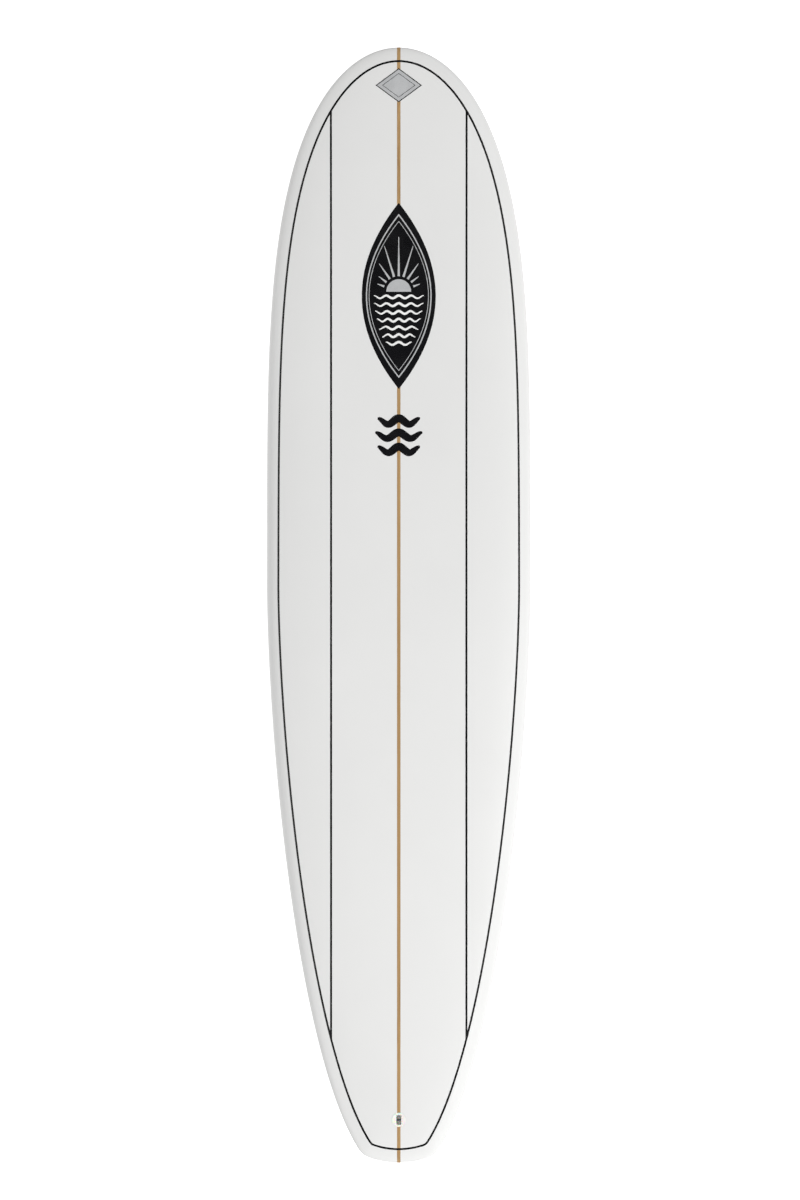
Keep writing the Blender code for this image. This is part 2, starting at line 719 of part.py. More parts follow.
clear_scene()
parts = new_collection("longboard_surfboard")
cutters = new_collection("cutters")
materials = {name: new_material(name) for name in MATERIALS}
outline, tail_corner = outline_right()
hull_rays = rays()
hull_pieces = build_hull()
build_leash_plug(hull_pieces)
build_center_fin(build_center_box(hull_pieces))
build_side_fin(-1, "left", hull_pieces)
build_side_fin(1, "right", hull_pieces)
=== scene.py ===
"""The looks of the longboard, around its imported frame: a fine hull with painted lines and marks, detailed
fins and hardware, materials, floor, light and camera. Metres, +Y to the nose, +Z up through the deck."""

import math

import bmesh
import bpy
import numpy as np
from mathutils import Euler, Matrix, Vector


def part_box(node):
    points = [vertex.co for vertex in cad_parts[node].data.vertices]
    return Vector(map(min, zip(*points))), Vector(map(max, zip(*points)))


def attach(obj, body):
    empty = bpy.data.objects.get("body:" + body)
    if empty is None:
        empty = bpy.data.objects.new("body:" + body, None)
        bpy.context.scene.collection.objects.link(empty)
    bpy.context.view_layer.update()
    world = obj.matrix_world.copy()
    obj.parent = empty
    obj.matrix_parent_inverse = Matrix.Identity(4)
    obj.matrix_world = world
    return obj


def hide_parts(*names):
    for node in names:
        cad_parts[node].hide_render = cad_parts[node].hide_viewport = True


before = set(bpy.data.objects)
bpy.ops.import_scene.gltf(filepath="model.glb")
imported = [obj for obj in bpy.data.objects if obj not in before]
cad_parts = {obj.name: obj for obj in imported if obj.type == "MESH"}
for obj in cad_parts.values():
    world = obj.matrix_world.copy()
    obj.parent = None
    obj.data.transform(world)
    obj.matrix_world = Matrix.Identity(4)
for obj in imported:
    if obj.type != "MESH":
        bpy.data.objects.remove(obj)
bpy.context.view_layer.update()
SIDES = ((-1, "left"), (1, "right"))

# Plan and side shape of the hull, as in the part's source
hull_low, hull_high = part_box("bottom_laminate")
HALF_LENGTH = (hull_high.y - hull_low.y) / 2
HALF_WIDTH = (hull_high.x - hull_low.x) / 2
WIDE_POINT = 0.045
NOSE_POWER = 4.05
TAIL_POWER = 1.63
TAIL_ROOT = 2.13
TAIL_OVERRUN = 0.037
BLOCK_RADIUS = 0.21
BLOCK_CORNER = 0.014
OUTLINE_STEPS = (240, 60, 14)  # along a rail or the nose, half the tail block, and its corner
THICKNESS = 0.0825
FLAT_SPOT = 0.15
NOSE_ROCKER = 0.118
TAIL_ROCKER = 0.068
NOSE_BEND = 2.3
TAIL_BEND = 1.9
NOSE_THINNING = 0.62
NOSE_THINNING_POWER = 2.4
TAIL_THINNING = 0.58
CROWN_POWER = 4.0
CROWN_ROOT = 2.4
APEX_NOSE = 0.40
APEX_TAIL = 0.26
APEX_SPAN = (-0.9, 0.6)  # spans are shares of the half length, negative behind the middle
TUCK_NOSE = 0.055
TUCK_TAIL = 0.030
TUCK_POWER = 2.2
TUCK_ROOT = 2.0
NOSE_CONCAVE = 0.004
CONCAVE_START = (0.1, 0.6)
CONCAVE_END = (0.75, 1.0)
TAIL_VEE = 0.005
VEE_SPAN = (0.2, 0.9)  # counted towards the tail
VEE_POWER = 1.4
FAIR_START = 0.02
FAIR_RADIUS = 0.04
FAIR_RINGS = (0.35, 0.7, 1.0)
FAIR_SPOKES = 8
LAP_WIDE = 0.0275
LAP_END = 0.0325
LAP_POWER = 1.5
TABLE_CELL = 0.005  # of the table that the fairing reads edge distances from

# Mesh of the hull
DECK, BOTTOM = 0, 1
SKIN = 0.0009
SKIN_SCALE = (0.9996, 0.9996, 0.9985)  # keeps the drawn hull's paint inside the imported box
SEAM = 0.0004
NOSE_FAN = 44
BODY_STATIONS = 230
TAIL_FAN = 12
BLOCK_RAYS = 20
NOSE_FOCUS = 0.16
TAIL_FOCUS = 0.124  # on the line that halves the tail corner, which keeps the pinline's corner sharp
LAP_RINGS = 14
TUCK_RINGS = 12
PANEL_RINGS = 26
BOTTOM_RINGS = 18

# Stringer, pinlines and printed marks
STRINGER = 0.008
STRINGER_STEPS = 500
STRINGER_LOOPS = 5
STRINGER_RAISE = 0.00006
TIP = 0.015  # over this length at each end, the stringer stands prouder
TIP_RAISE = 0.00025
EMBED = 0.00006  # how far the edges of paint reach into the skin
PAINT = 0.00012  # how far paint stands above the skin
PAINT_LAYER = 0.00005
OVERPRINT = PAINT + PAINT_LAYER
PINLINE = 0.0047
SIDE_LINE_X = 0.1575
SIDE_LINE_STEPS = 240
LOZENGE_FROM_NOSE = 0.088
LOZENGE = (0.104, 0.076)
LOZENGE_LINES = ((1.0, 0.0022), (0.72, 0.0012))  # (share of the lozenge, line width)
BADGE_FROM_NOSE = 0.575
BADGE_LENGTH = 0.432
BADGE_WIDTH = 0.172
BADGE_LINES = ((0.022, 0.056, 0.0030), (0.034, 0.086, 0.0014))  # (narrower, shorter, line width)
SUN_UP = 0.010  # from the badge's middle
SUN_RADIUS = 0.029
SUN_RAYS = 9
RAY_LOWEST = 0.35  # its angle over the horizon
RAY_START = 0.036
RAY_SHORTEST = 0.016
RAY_GROWTH = 0.075
RAY_WIDTH = (0.0056, 0.0014)
RAY_STEPS = 9
SEA_WAVES = 7
SEA_SPACING = 0.018
SEA_DROP = 0.012  # from the horizon to the first wave
SEA_MARGIN = 0.022
SEA_WAVE_SPAN = 0.028
SEA_WAVE_HEIGHT = 0.0065
SEA_WAVE_WIDTH = 0.0058
SEA_TAPER = (0.12, 0.5)  # a wave's end as an angle, and a power
BARS_FROM_NOSE = 0.899
BARS_WIDTH = 0.110
BARS_SPACING = 0.033
BARS_NARROWING = 0.1
BAR_HEIGHT = 0.014
BAR_WAVES = 2.0
BAR_THICKNESS = 0.019
BAR_TAPER = (0.02, 0.42)
WAVE_STEPS = 60

# Leash plug
PLUG_FROM_TAIL = 0.101
PLUG_RADIUS = 0.0165
PLUG_FLANGE = 0.0018
PLUG_CUP_RADIUS = 0.0135
PLUG_DEPTH = 0.020
PLUG_PROUD = 0.0004
PLUG_EASE = 0.0008
PLUG_RIM = ((0.0, -0.0001), (0.0002, 0.00022), (0.0007, 0.00036), (0.0015, PLUG_PROUD))  # (narrower, height)
LEASH_SLOT = (0.0115, 0.0225, 0.017)
LEASH_SLOT_CORNER = 0.0032
LEASH_SLOT_MOUTH = ((0.0010, 0.0), (0.0005, 0.0002), (0.0001, 0.0006), (0.0, 0.0011))  # (wider, down)
LEASH_SLOT_FLOOR = ((0.0, 0.0010), (-0.0003, 0.0003), (-0.0010, 0.0))  # (wider, up)
LEASH_PIN = (0.002, 0.020, 0.0003)  # radius, length and chamfer
LEASH_PIN_DEPTH = 0.0055

# Fin boxes
CORNER_STEPS = 12  # in each corner of a ring
CUT_OUT = 0.01  # how far a cutter stands out of what it cuts
GAP = 0.0002
PROUD = 0.0003  # how far a box stands out of the skin
FLANGE = 0.0016
BOX_EASE = 0.0008
BOX_RIM = ((0.0, 0.0), (-0.0002, -0.00021), (-0.0006, -PROUD))  # (wider, height)
SLOT_MOUTH = ((0.0005, -PROUD), (0.0002, -0.00018), (0.0, 0.0004))
SLOT_CORNER = 0.0012
SLOT_EASE = 0.0006
BOX_FROM_TAIL = 0.302
CENTER_BOX = (0.274, 0.024, 0.026, 0.003)  # length, width, depth and lip
TRACK_SLOT = (0.010, 0.254, 0.021)  # width, length and depth
TRACK_WIDTH = 0.015
TRACK_TOP = 0.0066
TRACK_HEIGHT = 0.006
TRACK_OVERRUN = 0.0002  # the track is longer than its slot, so that their ends share no line
NOTCH = (0.0154, 0.015, 0.0015)  # width, length and corner radius
SIDE_FROM_TAIL = 0.365
SIDE_X = 0.163
TOE = math.radians(2.5)
CANT = math.radians(3)
SIDE_BOX = (0.126, 0.0135, 0.0195, 0.0012)  # each as in the centre one
SIDE_SLOT = (0.0078, 0.104, 0.0165)
SIDE_SLOT_Y = -0.006

# Fins
FIN_OFFSET = -0.030
FIN_DEPTH = 0.180
FIN_CHORD = 0.130
FIN_RAKE = 0.062
FIN_THICKNESS = 0.0092
TAB_TOP = 0.0004
TAB = (-0.066, 0.062, TAB_TOP, 0.0195)  # rear, front, top and bottom
EAR = (0.052, 0.085, 0.0008, 0.0058)
TAB_CORNER = 0.0009
TAB_EASE = 0.0006
SIDE_TAB_LENGTH = 0.103
SIDE_TAB_THICKNESS = 0.007
SIDE_TAB_DEPTH = 0.0155
SIDE_FIN_DEPTH = 0.098
SIDE_FIN_RAKE = 0.036
FIN_END = 0.985  # the blade's curves end at this share of their depth
FIN_ROUND = 0.018  # over which the tip rounds off
FIN_ROUND_RINGS = 8
FIN_ROOT = 0.002  # how far the blade reaches into its tab
FIN_FRONT_CURVE = (1.7, 0.72)
FIN_REAR_CURVE = (2.2, 0.62)
FIN_THINNING = 0.62  # how much thinner its tip is
FIN_FOIL = (0.5, 0.9)  # powers of the foil towards the front and the rear
FIN_EDGE = 0.06  # thickness of its edges, as a share of its middle
FIN_SPANS = 44
FIN_POINTS = 40

# Screws, pins and plate
FIN_PIN_Y = -0.060
FIN_PIN_Z = 0.0096
FIN_PIN = (0.0024, 0.014, 0.0004)
SCREW_Y = 0.076
SCREW_RADIUS = 0.00195
SCREW_END = 0.0115
HEAD_RADIUS = 0.0035
HEAD_TOP = 0.0010
HEAD_HEIGHT = 0.0022
HEAD_DOME = ((0.55, 0.0), (0.85, 0.0002), (1.0, 0.0007))  # (share of the radius, down)
HEAD_NECK = 0.9  # share of the shank's radius
PLATE_SIDE = 0.0135
PLATE_TOP = 0.0069
PLATE_HEIGHT = 0.0026
PLATE_CORNER = 0.0010
PLATE_EASE = 0.0003
DRIVE = (0.02, 0.0011, 0.0001)  # length, width and corner radius of the screwdriver slot
DRIVE_DEPTH = 0.0010
GRUB_RADIUS = 0.0023
GRUB_LENGTH = 0.0095
GRUB_TILT = math.radians(35)
GRUB_MOUTH_Y = 0.0535
GRUB_RECESS = 0.0006
HEX_RADIUS = 0.0013
HEX_DEPTH = 0.0028
HEX_POINT = 0.0003
GRUB_CHAMFER = (0.0004, 0.0003)  # narrower and down
PITCH = 0.0007
THREAD = 0.00022
THREAD_RINGS = 8  # rings of points a turn
THREAD_CREST = 1.5  # more makes a flatter crest
THREAD_LEAD = 0.15  # how much thinner the end is
BORE_CLEARANCE = 0.0003
GRUB_CLEARANCE = 0.00015
FINE = 0.0001  # the finest clearance and chamfer

# Gloss coat over the hull and its marks
COAT = {"Coat Weight": 0.5, "Coat Roughness": 0.06, "Coat IOR": 1.5}

# Studio
FLOOR_Z = -0.130
FLOOR_SIZE = 120
PICTURE_HEIGHT = 2.7988  # metres that the picture's height covers, at OUTLINE_PLANE
OUTLINE_PLANE = 0.04
CAMERA_AT = (0.0029, 0.0137)
BELOW_LIGHT = 0.95  # from under the horizon, as off a white floor
WALL_LIGHT = 0.55
FLOOR_GLOW = 0.72
CEILING_LIGHT = 0.06
BACKDROP = 1.1
LENS = 200
SENSOR = 36
FAR_CLIP = 500


# --- hull shape ---


def block_y(x):
    """Where the arc of the tail block is, across the board."""
    return BLOCK_RADIUS - np.sqrt(BLOCK_RADIUS**2 - np.minimum(x, BLOCK_RADIUS) ** 2) - HALF_LENGTH


def nose_y(x):
    """Where the nose's curve is, across the board."""
    share = np.clip(np.asarray(x) / HALF_WIDTH, 0, 1)
    return WIDE_POINT + (HALF_LENGTH - WIDE_POINT) * (1 - share**2) ** (1 / NOSE_POWER)


def outline_right():
    """The right half of the plan outline, from nose tip to tail middle, and its corner before rounding."""
    rail_steps, tail_steps, bend_steps = OUTLINE_STEPS
    angle = np.linspace(0, math.pi / 2, rail_steps)
    across = HALF_WIDTH * np.sin(angle)
    nose = np.column_stack([across, nose_y(across)])
    angle = angle[:0:-1]
    tail_run = HALF_LENGTH + WIDE_POINT + TAIL_OVERRUN
    tail_y = WIDE_POINT - tail_run * np.cos(angle) ** (2 / TAIL_POWER)
    rail = np.column_stack([HALF_WIDTH * np.sin(angle) ** (2 / TAIL_ROOT), tail_y])
    rail = rail[rail[:, 1] > block_y(rail[:, 0])]
    corner = rail[-1]
    across = np.linspace(corner[0], 0, tail_steps)
    tail = np.column_stack([across, block_y(across)])
    rail = rail[np.hypot(*(rail - corner).T) > BLOCK_CORNER]
    tail = tail[np.hypot(*(tail - corner).T) > BLOCK_CORNER]
    t = np.linspace(0, 1, bend_steps)[1:-1, None]
    bend = (1 - t) ** 2 * rail[-1] + 2 * t * (1 - t) * corner + t**2 * tail[0]
    return np.vstack([nose, rail[1:], bend, tail]), corner


def edge_distance(points):
    """How far plan points are inside the outline, negative outside."""
    folded = np.column_stack([np.abs(points[:, 0]), points[:, 1]])
    along = np.diff(outline, axis=0)
    offset = folded[:, None] - outline[:-1]
    share = np.clip((offset * along).sum(-1) / (along**2).sum(-1), 0, 1)
    distance = np.linalg.norm(offset - share[..., None] * along, axis=-1).min(-1)
    rail = np.interp(folded[:, 1], outline[::-1, 1], outline[::-1, 0], left=0, right=0)
    return np.where(folded[:, 0] < rail, distance, -distance)


def distance_table():
    """The edge distance on a grid over the right half."""
    x = np.arange(0, HALF_WIDTH + 2 * TABLE_CELL, TABLE_CELL)
    y = np.arange(-HALF_LENGTH, HALF_LENGTH + 2 * TABLE_CELL, TABLE_CELL)
    grid = np.stack(np.meshgrid(x, y, indexing="ij"), -1)
    return edge_distance(grid.reshape(-1, 2)).reshape(grid.shape[:2])


def table_distance(points):
    """The edge distance from the table, close enough away from the rails."""
    column = np.clip(np.abs(points[:, 0]) / TABLE_CELL, 0, edge_table.shape[0] - 1.001)
    row = np.clip((points[:, 1] + HALF_LENGTH) / TABLE_CELL, 0, edge_table.shape[1] - 1.001)
    i, j = column.astype(int), row.astype(int)
    u, v = column - i, row - j
    near, far = (edge_table[k, j] * (1 - v) + edge_table[k, j + 1] * v for k in (i, i + 1))
    return near * (1 - u) + far * u


def smooth_step(value, start, end):
    """Rises smoothly from 0 at start to 1 at end."""
    t = np.clip((value - start) / (end - start), 0, 1)
    return t * t * (3 - 2 * t)


def station(y):
    """The side shape at y: rocker, thickness, apex height, tuck, concave and vee."""
    t = y / HALF_LENGTH
    bend = np.maximum(np.abs(y) - FLAT_SPOT, 0) / (HALF_LENGTH - FLAT_SPOT)
    toward_nose = smooth_step(t, *APEX_SPAN)
    rocker = np.where(t > 0, NOSE_ROCKER * bend**NOSE_BEND, TAIL_ROCKER * bend**TAIL_BEND)
    thinning = np.where(t > 0, NOSE_THINNING * np.abs(t) ** NOSE_THINNING_POWER, TAIL_THINNING * t**2)
    thickness = THICKNESS * (1 - thinning)
    apex = thickness * (APEX_TAIL + (APEX_NOSE - APEX_TAIL) * toward_nose)
    tuck = TUCK_TAIL + (TUCK_NOSE - TUCK_TAIL) * toward_nose
    concave = NOSE_CONCAVE * smooth_step(t, *CONCAVE_START) * (1 - smooth_step(t, *CONCAVE_END))
    vee = TAIL_VEE * smooth_step(-t, *VEE_SPAN)
    return rocker, thickness, apex, tuck, concave, vee


def falling(share, power, root):
    """Falls from 1 with a level tangent to 0 with an upright one."""
    return (1 - share**power) ** root


def round_over(share, power, root):
    """Rises from 0 with an upright tangent to 1 with a level one."""
    return falling(1 - np.clip(share, 0, 1), power, 1 / root)


def rough_heights(points, edge):
    """The deck's and the bottom's height at plan points, creased where the nearest rail changes."""
    rocker, thickness, apex, tuck, concave, vee = station(points[:, 1])
    edge = np.maximum(edge, 0)
    x = np.abs(points[:, 0])
    across = x / np.maximum(x + edge, 1e-9)
    rail = rocker + vee - concave + apex
    deck = rail + (rocker + thickness - rail) * round_over(edge / HALF_WIDTH, CROWN_POWER, CROWN_ROOT)
    flat = rocker + vee * across**VEE_POWER - concave * across**2
    bottom = rail - (rail - flat) * round_over(edge / tuck, TUCK_POWER, TUCK_ROOT)
    return np.array([deck, bottom])


def heights(points, edge=None):
    """The deck's and the bottom's height at plan points, faired by averaging over discs clear of the rails.
    edge is their distance inside the outline, if known."""
    points = np.asarray(points, float).reshape(-1, 2)
    if edge is None:
        edge = edge_distance(points)
    total = rough_heights(points, edge)
    inner = edge > FAIR_START
    radius = np.clip((edge[inner] - FAIR_START) / 2, 0, FAIR_RADIUS)[:, None]
    for ring, share in enumerate(FAIR_RINGS):
        for spoke in range(FAIR_SPOKES):
            angle = (spoke + ring % 2 / 2) * 2 * math.pi / FAIR_SPOKES
            around = points[inner] + share * radius * (math.cos(angle), math.sin(angle))
            total[:, inner] += rough_heights(around, table_distance(around))
    total[:, inner] /= 1 + len(FAIR_RINGS) * FAIR_SPOKES
    return total


def rays():
    """Origins and directions of the right half's rays, from nose tip to tail middle."""
    nose = np.array([0, HALF_LENGTH - NOSE_FOCUS])
    tail = np.array([0, TAIL_FOCUS - HALF_LENGTH])
    corner_angle = math.atan2(tail_corner[1] - tail[1], tail_corner[0])
    found = [(nose, a) for a in np.linspace(math.pi / 2, 0, NOSE_FAN + 1)[:-1]]
    found += [(nose + s * (tail - nose), 0.0) for s in np.linspace(0, 1, BODY_STATIONS + 1)]
    found += [(tail, a) for a in np.linspace(0, corner_angle, TAIL_FAN + 1)[1:]]
    found += [(tail, a) for a in np.linspace(corner_angle, -math.pi / 2, BLOCK_RAYS + 1)[1:]]
    origin, angle = (np.array(column) for column in zip(*found))
    return origin, np.column_stack([np.cos(angle), np.sin(angle)])


def lap_width(y):
    return LAP_WIDE + (LAP_END - LAP_WIDE) * np.abs(y / HALF_LENGTH) ** LAP_POWER


def reach(level, lap=0.0):
    """Points on the rays one distance inside the outline, and that distance. lap is a share of the lap."""
    origin, direction = hull_rays
    near = np.zeros((len(origin), 1))
    far = np.full((len(origin), 1), 2 * HALF_WIDTH)
    for _ in range(32):
        middle = (near + far) / 2
        points = origin + middle * direction
        inside = edge_distance(points) - lap * lap_width(points[:, 1]) > level
        near = np.where(inside[:, None], middle, near)
        far = np.where(inside[:, None], far, middle)
    points = origin + near * direction
    return points, level + lap * lap_width(points[:, 1])


def toward_spine(outer, share):
    """Points from the spine, at share 0, to an outer row, at share 1."""
    origin, _ = hull_rays
    return origin + share * (outer - origin)


# --- surfaces on the hull ---


def on_hull(plan, side=DECK, lift=0.0, edge=None):
    """Points of the drawn hull over plan points, raised outwards by lift."""
    outward = 1 if side == DECK else -1
    up = heights(plan, edge)[side] + outward * lift
    return np.column_stack([plan, up]) * SKIN_SCALE


def ring_on_hull(row, side=DECK, lift=0.0, edge=None):
    """The right side's row on the hull, mirrored into a closed ring."""
    right = on_hull(row, side, lift, edge)
    return np.vstack([right, right[-2:0:-1] * (-1, 1, 1)])


def lofted(rings, endless=False):
    """A surface through closed rings of equal length. An endless one joins its last ring to its first."""
    bm = bmesh.new()
    rows = [[bm.verts.new(p) for p in ring] for ring in rings]
    if endless:
        rows.append(rows[0])
    count = len(rows[0])
    for row, following in zip(rows, rows[1:]):
        for i in range(count):
            j = (i + 1) % count
            bm.faces.new((row[i], row[j], following[j], following[i]))
    bmesh.ops.remove_doubles(bm, verts=bm.verts, dist=1e-7)
    return bm


def capped(rings):
    """A closed surface through rings. Rounding puts its ends' middles exactly on the axis, for booleans."""
    start, end = ([np.mean(ring, 0).round(9)] * len(ring) for ring in (rings[0], rings[-1]))
    return lofted([start, *rings, end])


def eased(count, power):
    """Shares from 0 to 1, close together near 0."""
    return np.linspace(0, 1, count + 1) ** power


def strip_profile(lift):
    """(share of the width, height) round a painted strip's section, whose edges sink in the skin."""
    right = ((0.42, lift), (0.5, 0.6 * lift), (0.5, -EMBED))
    return [(-share, height) for share, height in right[::-1]] + list(right)


def ribbon(path, width, lift=PAINT, closed=False):
    """A painted strip along plan points on the deck. width is one number or one for each point."""
    width = np.broadcast_to(width, len(path))[:, None]
    if closed:
        before, after = path - np.roll(path, 1, 0), np.roll(path, -1, 0) - path
    else:
        step = np.diff(path, axis=0)
        before, after = np.vstack([step[:1], step]), np.vstack([step, step[-1:]])
    before, after = (np.column_stack([-s[:, 1], s[:, 0]]) / np.hypot(*s.T)[:, None] for s in (before, after))
    sideways = (before + after) / (1 + (before * after).sum(1))[:, None]
    rows = [on_hull(path + share * width * sideways, lift=up) for share, up in strip_profile(lift)]
    sections = list(np.array(rows).transpose(1, 0, 2))
    return lofted(sections, endless=True) if closed else capped(sections)


def patch(edge, lift=PAINT, rings=8):
    """A painted patch on the deck, inside a closed outline that its middle sees all of."""
    middle = (edge.max(0) + edge.min(0)) / 2
    plans = [middle + share * (edge - middle) for share in np.linspace(0, 1, rings + 1)]
    under = [on_hull(plan, lift=-EMBED) for plan in plans]
    over = [on_hull(plan, lift=lift) for plan in plans[::-1]]
    return lofted([*under, *over])


# --- objects ---


def added(name, data, place=Matrix()):
    """A new object in the scene."""
    obj = bpy.data.objects.new(name, data)
    obj.matrix_world = place
    bpy.context.scene.collection.objects.link(obj)
    return obj


def solid(name, bm, place=Matrix()):
    """An object from a bmesh, with its faces pointing out."""
    bmesh.ops.recalc_face_normals(bm, faces=bm.faces)
    mesh = bpy.data.meshes.new(name)
    bm.to_mesh(mesh)
    bm.free()
    return added(name, mesh, place)


def apply_modifiers(obj):
    seen = obj.evaluated_get(bpy.context.evaluated_depsgraph_get())
    plain, obj.data = obj.data, bpy.data.meshes.new_from_object(seen)
    obj.modifiers.clear()
    bpy.data.meshes.remove(plain)


def carve(obj, *tools, operation="DIFFERENCE"):
    """Takes other objects out of an object, or joins them to it, and removes them."""
    for tool in tools:
        modifier = obj.modifiers.new(tool.name, "BOOLEAN")
        modifier.operation = operation
        modifier.solver = "EXACT"
        modifier.object = tool
    apply_modifiers(obj)
    for tool in tools:
        bpy.data.objects.remove(tool)


def finish(obj, body, material, node=None, sharp=35):
    """Makes an object a visible piece, whose mesh moves to its place and keeps its own coordinates."""
    mesh = obj.data
    local = mesh.attributes.new("local", "FLOAT_VECTOR", "POINT")
    for vertex, value in zip(mesh.vertices, local.data):
        value.vector = vertex.co
    mesh.transform(obj.matrix_world)
    obj.matrix_world = Matrix()
    mesh.materials.clear()
    mesh.materials.append(material)
    mesh.polygons.foreach_set("material_index", [0] * len(mesh.polygons))
    mesh.shade_smooth()
    mesh.set_sharp_from_angle(angle=math.radians(sharp))
    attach(obj, body)
    if node:
        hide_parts(node)


# --- hardware shapes ---


def round_rect(width, length, radius, z, grow=0.0, middle_y=0.0):
    """A closed ring: a rectangle along Y with round corners, or a capsule. grow widens it all round."""
    ring = []
    for corner, (side, end) in enumerate(((1, 1), (-1, 1), (-1, -1), (1, -1))):
        x = side * (width / 2 - radius)
        y = end * (length / 2 - radius) + middle_y
        for step in range(CORNER_STEPS + 1):
            angle = (corner + step / CORNER_STEPS) * math.pi / 2
            ring.append((x + (radius + grow) * math.cos(angle), y + (radius + grow) * math.sin(angle), z))
    return ring


def capsule(width, length, z, grow=0.0):
    return round_rect(width, length, width / 2, z, grow)


def circle(radius, z):
    return capsule(2 * radius, 2 * radius, z)


def circles(*profile):
    """One circle for each (radius, height)."""
    return [circle(radius, z) for radius, z in profile]


def hexagon(radius, z):
    """A hexagon with as many points as a circle."""
    ring = []
    for x, y, _ in circle(1.0, z):
        off_middle = math.atan2(y, x) % (math.pi / 3) - math.pi / 6
        out = radius * math.cos(math.pi / 6) / math.cos(off_middle)
        ring.append((out * x, out * y, z))
    return ring


def chamfered_rod(radius, length, chamfer):
    """A rod about the origin with chamfered ends."""
    half = length / 2
    end, side = radius - chamfer, half - chamfer
    return capped(circles((end, -half), (radius, -side), (radius, side), (end, half)))


def cutter(ring_at, start, end, place):
    """A slab between two heights, to cut with. ring_at gives its ring at a height."""
    return solid("cutter", capped([ring_at(start), ring_at(end)]), place)


def cutter_rod(radius, start, end, place):
    return cutter(lambda z: circle(radius, z), start, end, place)


def thread_rings(radius, start, end):
    """Rings of a threaded shank along Z, with a climbing ridge and a thinner end."""
    rings = []
    sides = 4 * (CORNER_STEPS + 1)
    count = round((end - start) / PITCH * THREAD_RINGS)
    for z in np.linspace(start, end, count + 1):
        full = min(1.0, (end - z) / (2 * THREAD) + 0.2)
        ring = []
        for share in np.arange(sides) / sides:
            phase = (z / PITCH - share) % 1.0
            ridge = min(1.0, THREAD_CREST * (1 - abs(2 * phase - 1)))
            r = (radius - THREAD * (1 - ridge)) * (1 - THREAD_LEAD * (1 - full))
            ring.append((r * math.cos(2 * math.pi * share), r * math.sin(2 * math.pi * share), z))
        rings.append(ring)
    return rings


def frame_on(x, y, side, toe=0.0):
    """A matrix on the deck or the bottom, whose +Z points up at right angles to it."""
    step = 0.02
    around = [(x, y), (x + step, y), (x - step, y), (x, y + step), (x, y - step)]
    z, right, left, front, rear = (float(h) for h in heights(around)[side])
    lean = math.atan((right - left) / (2 * step))
    pitch = math.atan((front - rear) / (2 * step))
    upright = Euler((pitch, -lean, 0)).to_matrix()
    turned = upright @ Matrix.Rotation(toe, 3, "Z")
    return Matrix.Translation((x, y, z)) @ turned.to_4x4()


# --- hull pieces ---


def plug_pocket():
    return cutter_rod(PLUG_RADIUS + GAP, -PLUG_DEPTH - GAP, CUT_OUT, frames["plug"])


def box_pocket(label, box):
    length, width, depth, lip = box
    return cutter(lambda z: capsule(width + 2 * lip, length, z, GAP), -CUT_OUT, depth + GAP, frames[label])


def thicken(obj):
    """Thickens an open skin inwards."""
    solidify = obj.modifiers.new("skin", "SOLIDIFY")
    solidify.thickness = SKIN
    solidify.offset = -1
    apply_modifiers(obj)


def build_deck(material):
    edge, _ = reach(SEAM / 2, lap=1)
    shares = 1 - eased(PANEL_RINGS, 1.6)
    rings = [ring_on_hull(toward_spine(edge, share)) for share in shares[::-1]]
    deck = solid("deck_panel", lofted(rings))
    thicken(deck)
    carve(deck, plug_pocket())
    finish(deck, "board", material, "deck_laminate")


def build_bottom(material):
    edge, distance = reach(-SEAM / 2, lap=1)
    rings = [ring_on_hull(edge, edge=distance)]
    for share in eased(LAP_RINGS, 2.0)[::-1][1:]:
        row, distance = reach(0, lap=share)
        rings.append(ring_on_hull(row, edge=distance))
    for level in eased(TUCK_RINGS, 2.0)[1:] * TUCK_NOSE:
        row, _ = reach(level)
        rings.append(ring_on_hull(row, BOTTOM, edge=np.full(len(row), level)))
    for share in 1 - np.linspace(0, 1, BOTTOM_RINGS + 1)[1:]:
        rings.append(ring_on_hull(toward_spine(row, share), BOTTOM))
    bottom = solid("bottom_and_rails", lofted(rings))
    thicken(bottom)
    side_pockets = [box_pocket(f"side_box_{label}", SIDE_BOX) for _, label in SIDES]
    carve(bottom, box_pocket("center_box", CENTER_BOX), *side_pockets)
    finish(bottom, "board", material, "bottom_laminate")


def stringer_loop(x):
    """The hull's section at x as a closed loop, along the deck to the nose and back along the bottom."""
    share = (1 - np.cos(np.linspace(0, math.pi, STRINGER_STEPS))) / 2
    low, high = float(block_y(abs(x))), float(nose_y(abs(x)))
    plan = np.column_stack([np.full(STRINGER_STEPS, x), low + share * (high - low)])
    deck, bottom = heights(plan)
    along = plan[:, 1]
    loop = np.vstack([np.column_stack([along, deck]), np.column_stack([along, bottom])[-2:0:-1]])
    ahead = np.roll(loop, -1, 0) - np.roll(loop, 1, 0)
    outward = np.column_stack([-ahead[:, 1], ahead[:, 0]]) / np.hypot(*ahead.T)[:, None]
    from_tip = np.minimum(loop[:, 0] - low, high - loop[:, 0])
    raised = loop + np.interp(from_tip, (0, TIP), (TIP_RAISE, STRINGER_RAISE))[:, None] * outward
    return np.column_stack([np.full(len(raised), x), raised]) * SKIN_SCALE


def build_stringer(material):
    """The wooden strip, which shows through the clear laminate on the deck and the bottom."""
    bm = lofted([stringer_loop(x) for x in np.linspace(-STRINGER / 2, STRINGER / 2, STRINGER_LOOPS)])
    bmesh.ops.holes_fill(bm, edges=bm.edges)
    stringer = solid("stringer_board", bm)
    carve(stringer, plug_pocket(), box_pocket("center_box", CENTER_BOX))
    finish(stringer, "board", material, "stringer")


# --- lines and marks ---


def painted(name, bm, material):
    finish(solid(name, bm), "board", material, sharp=60)


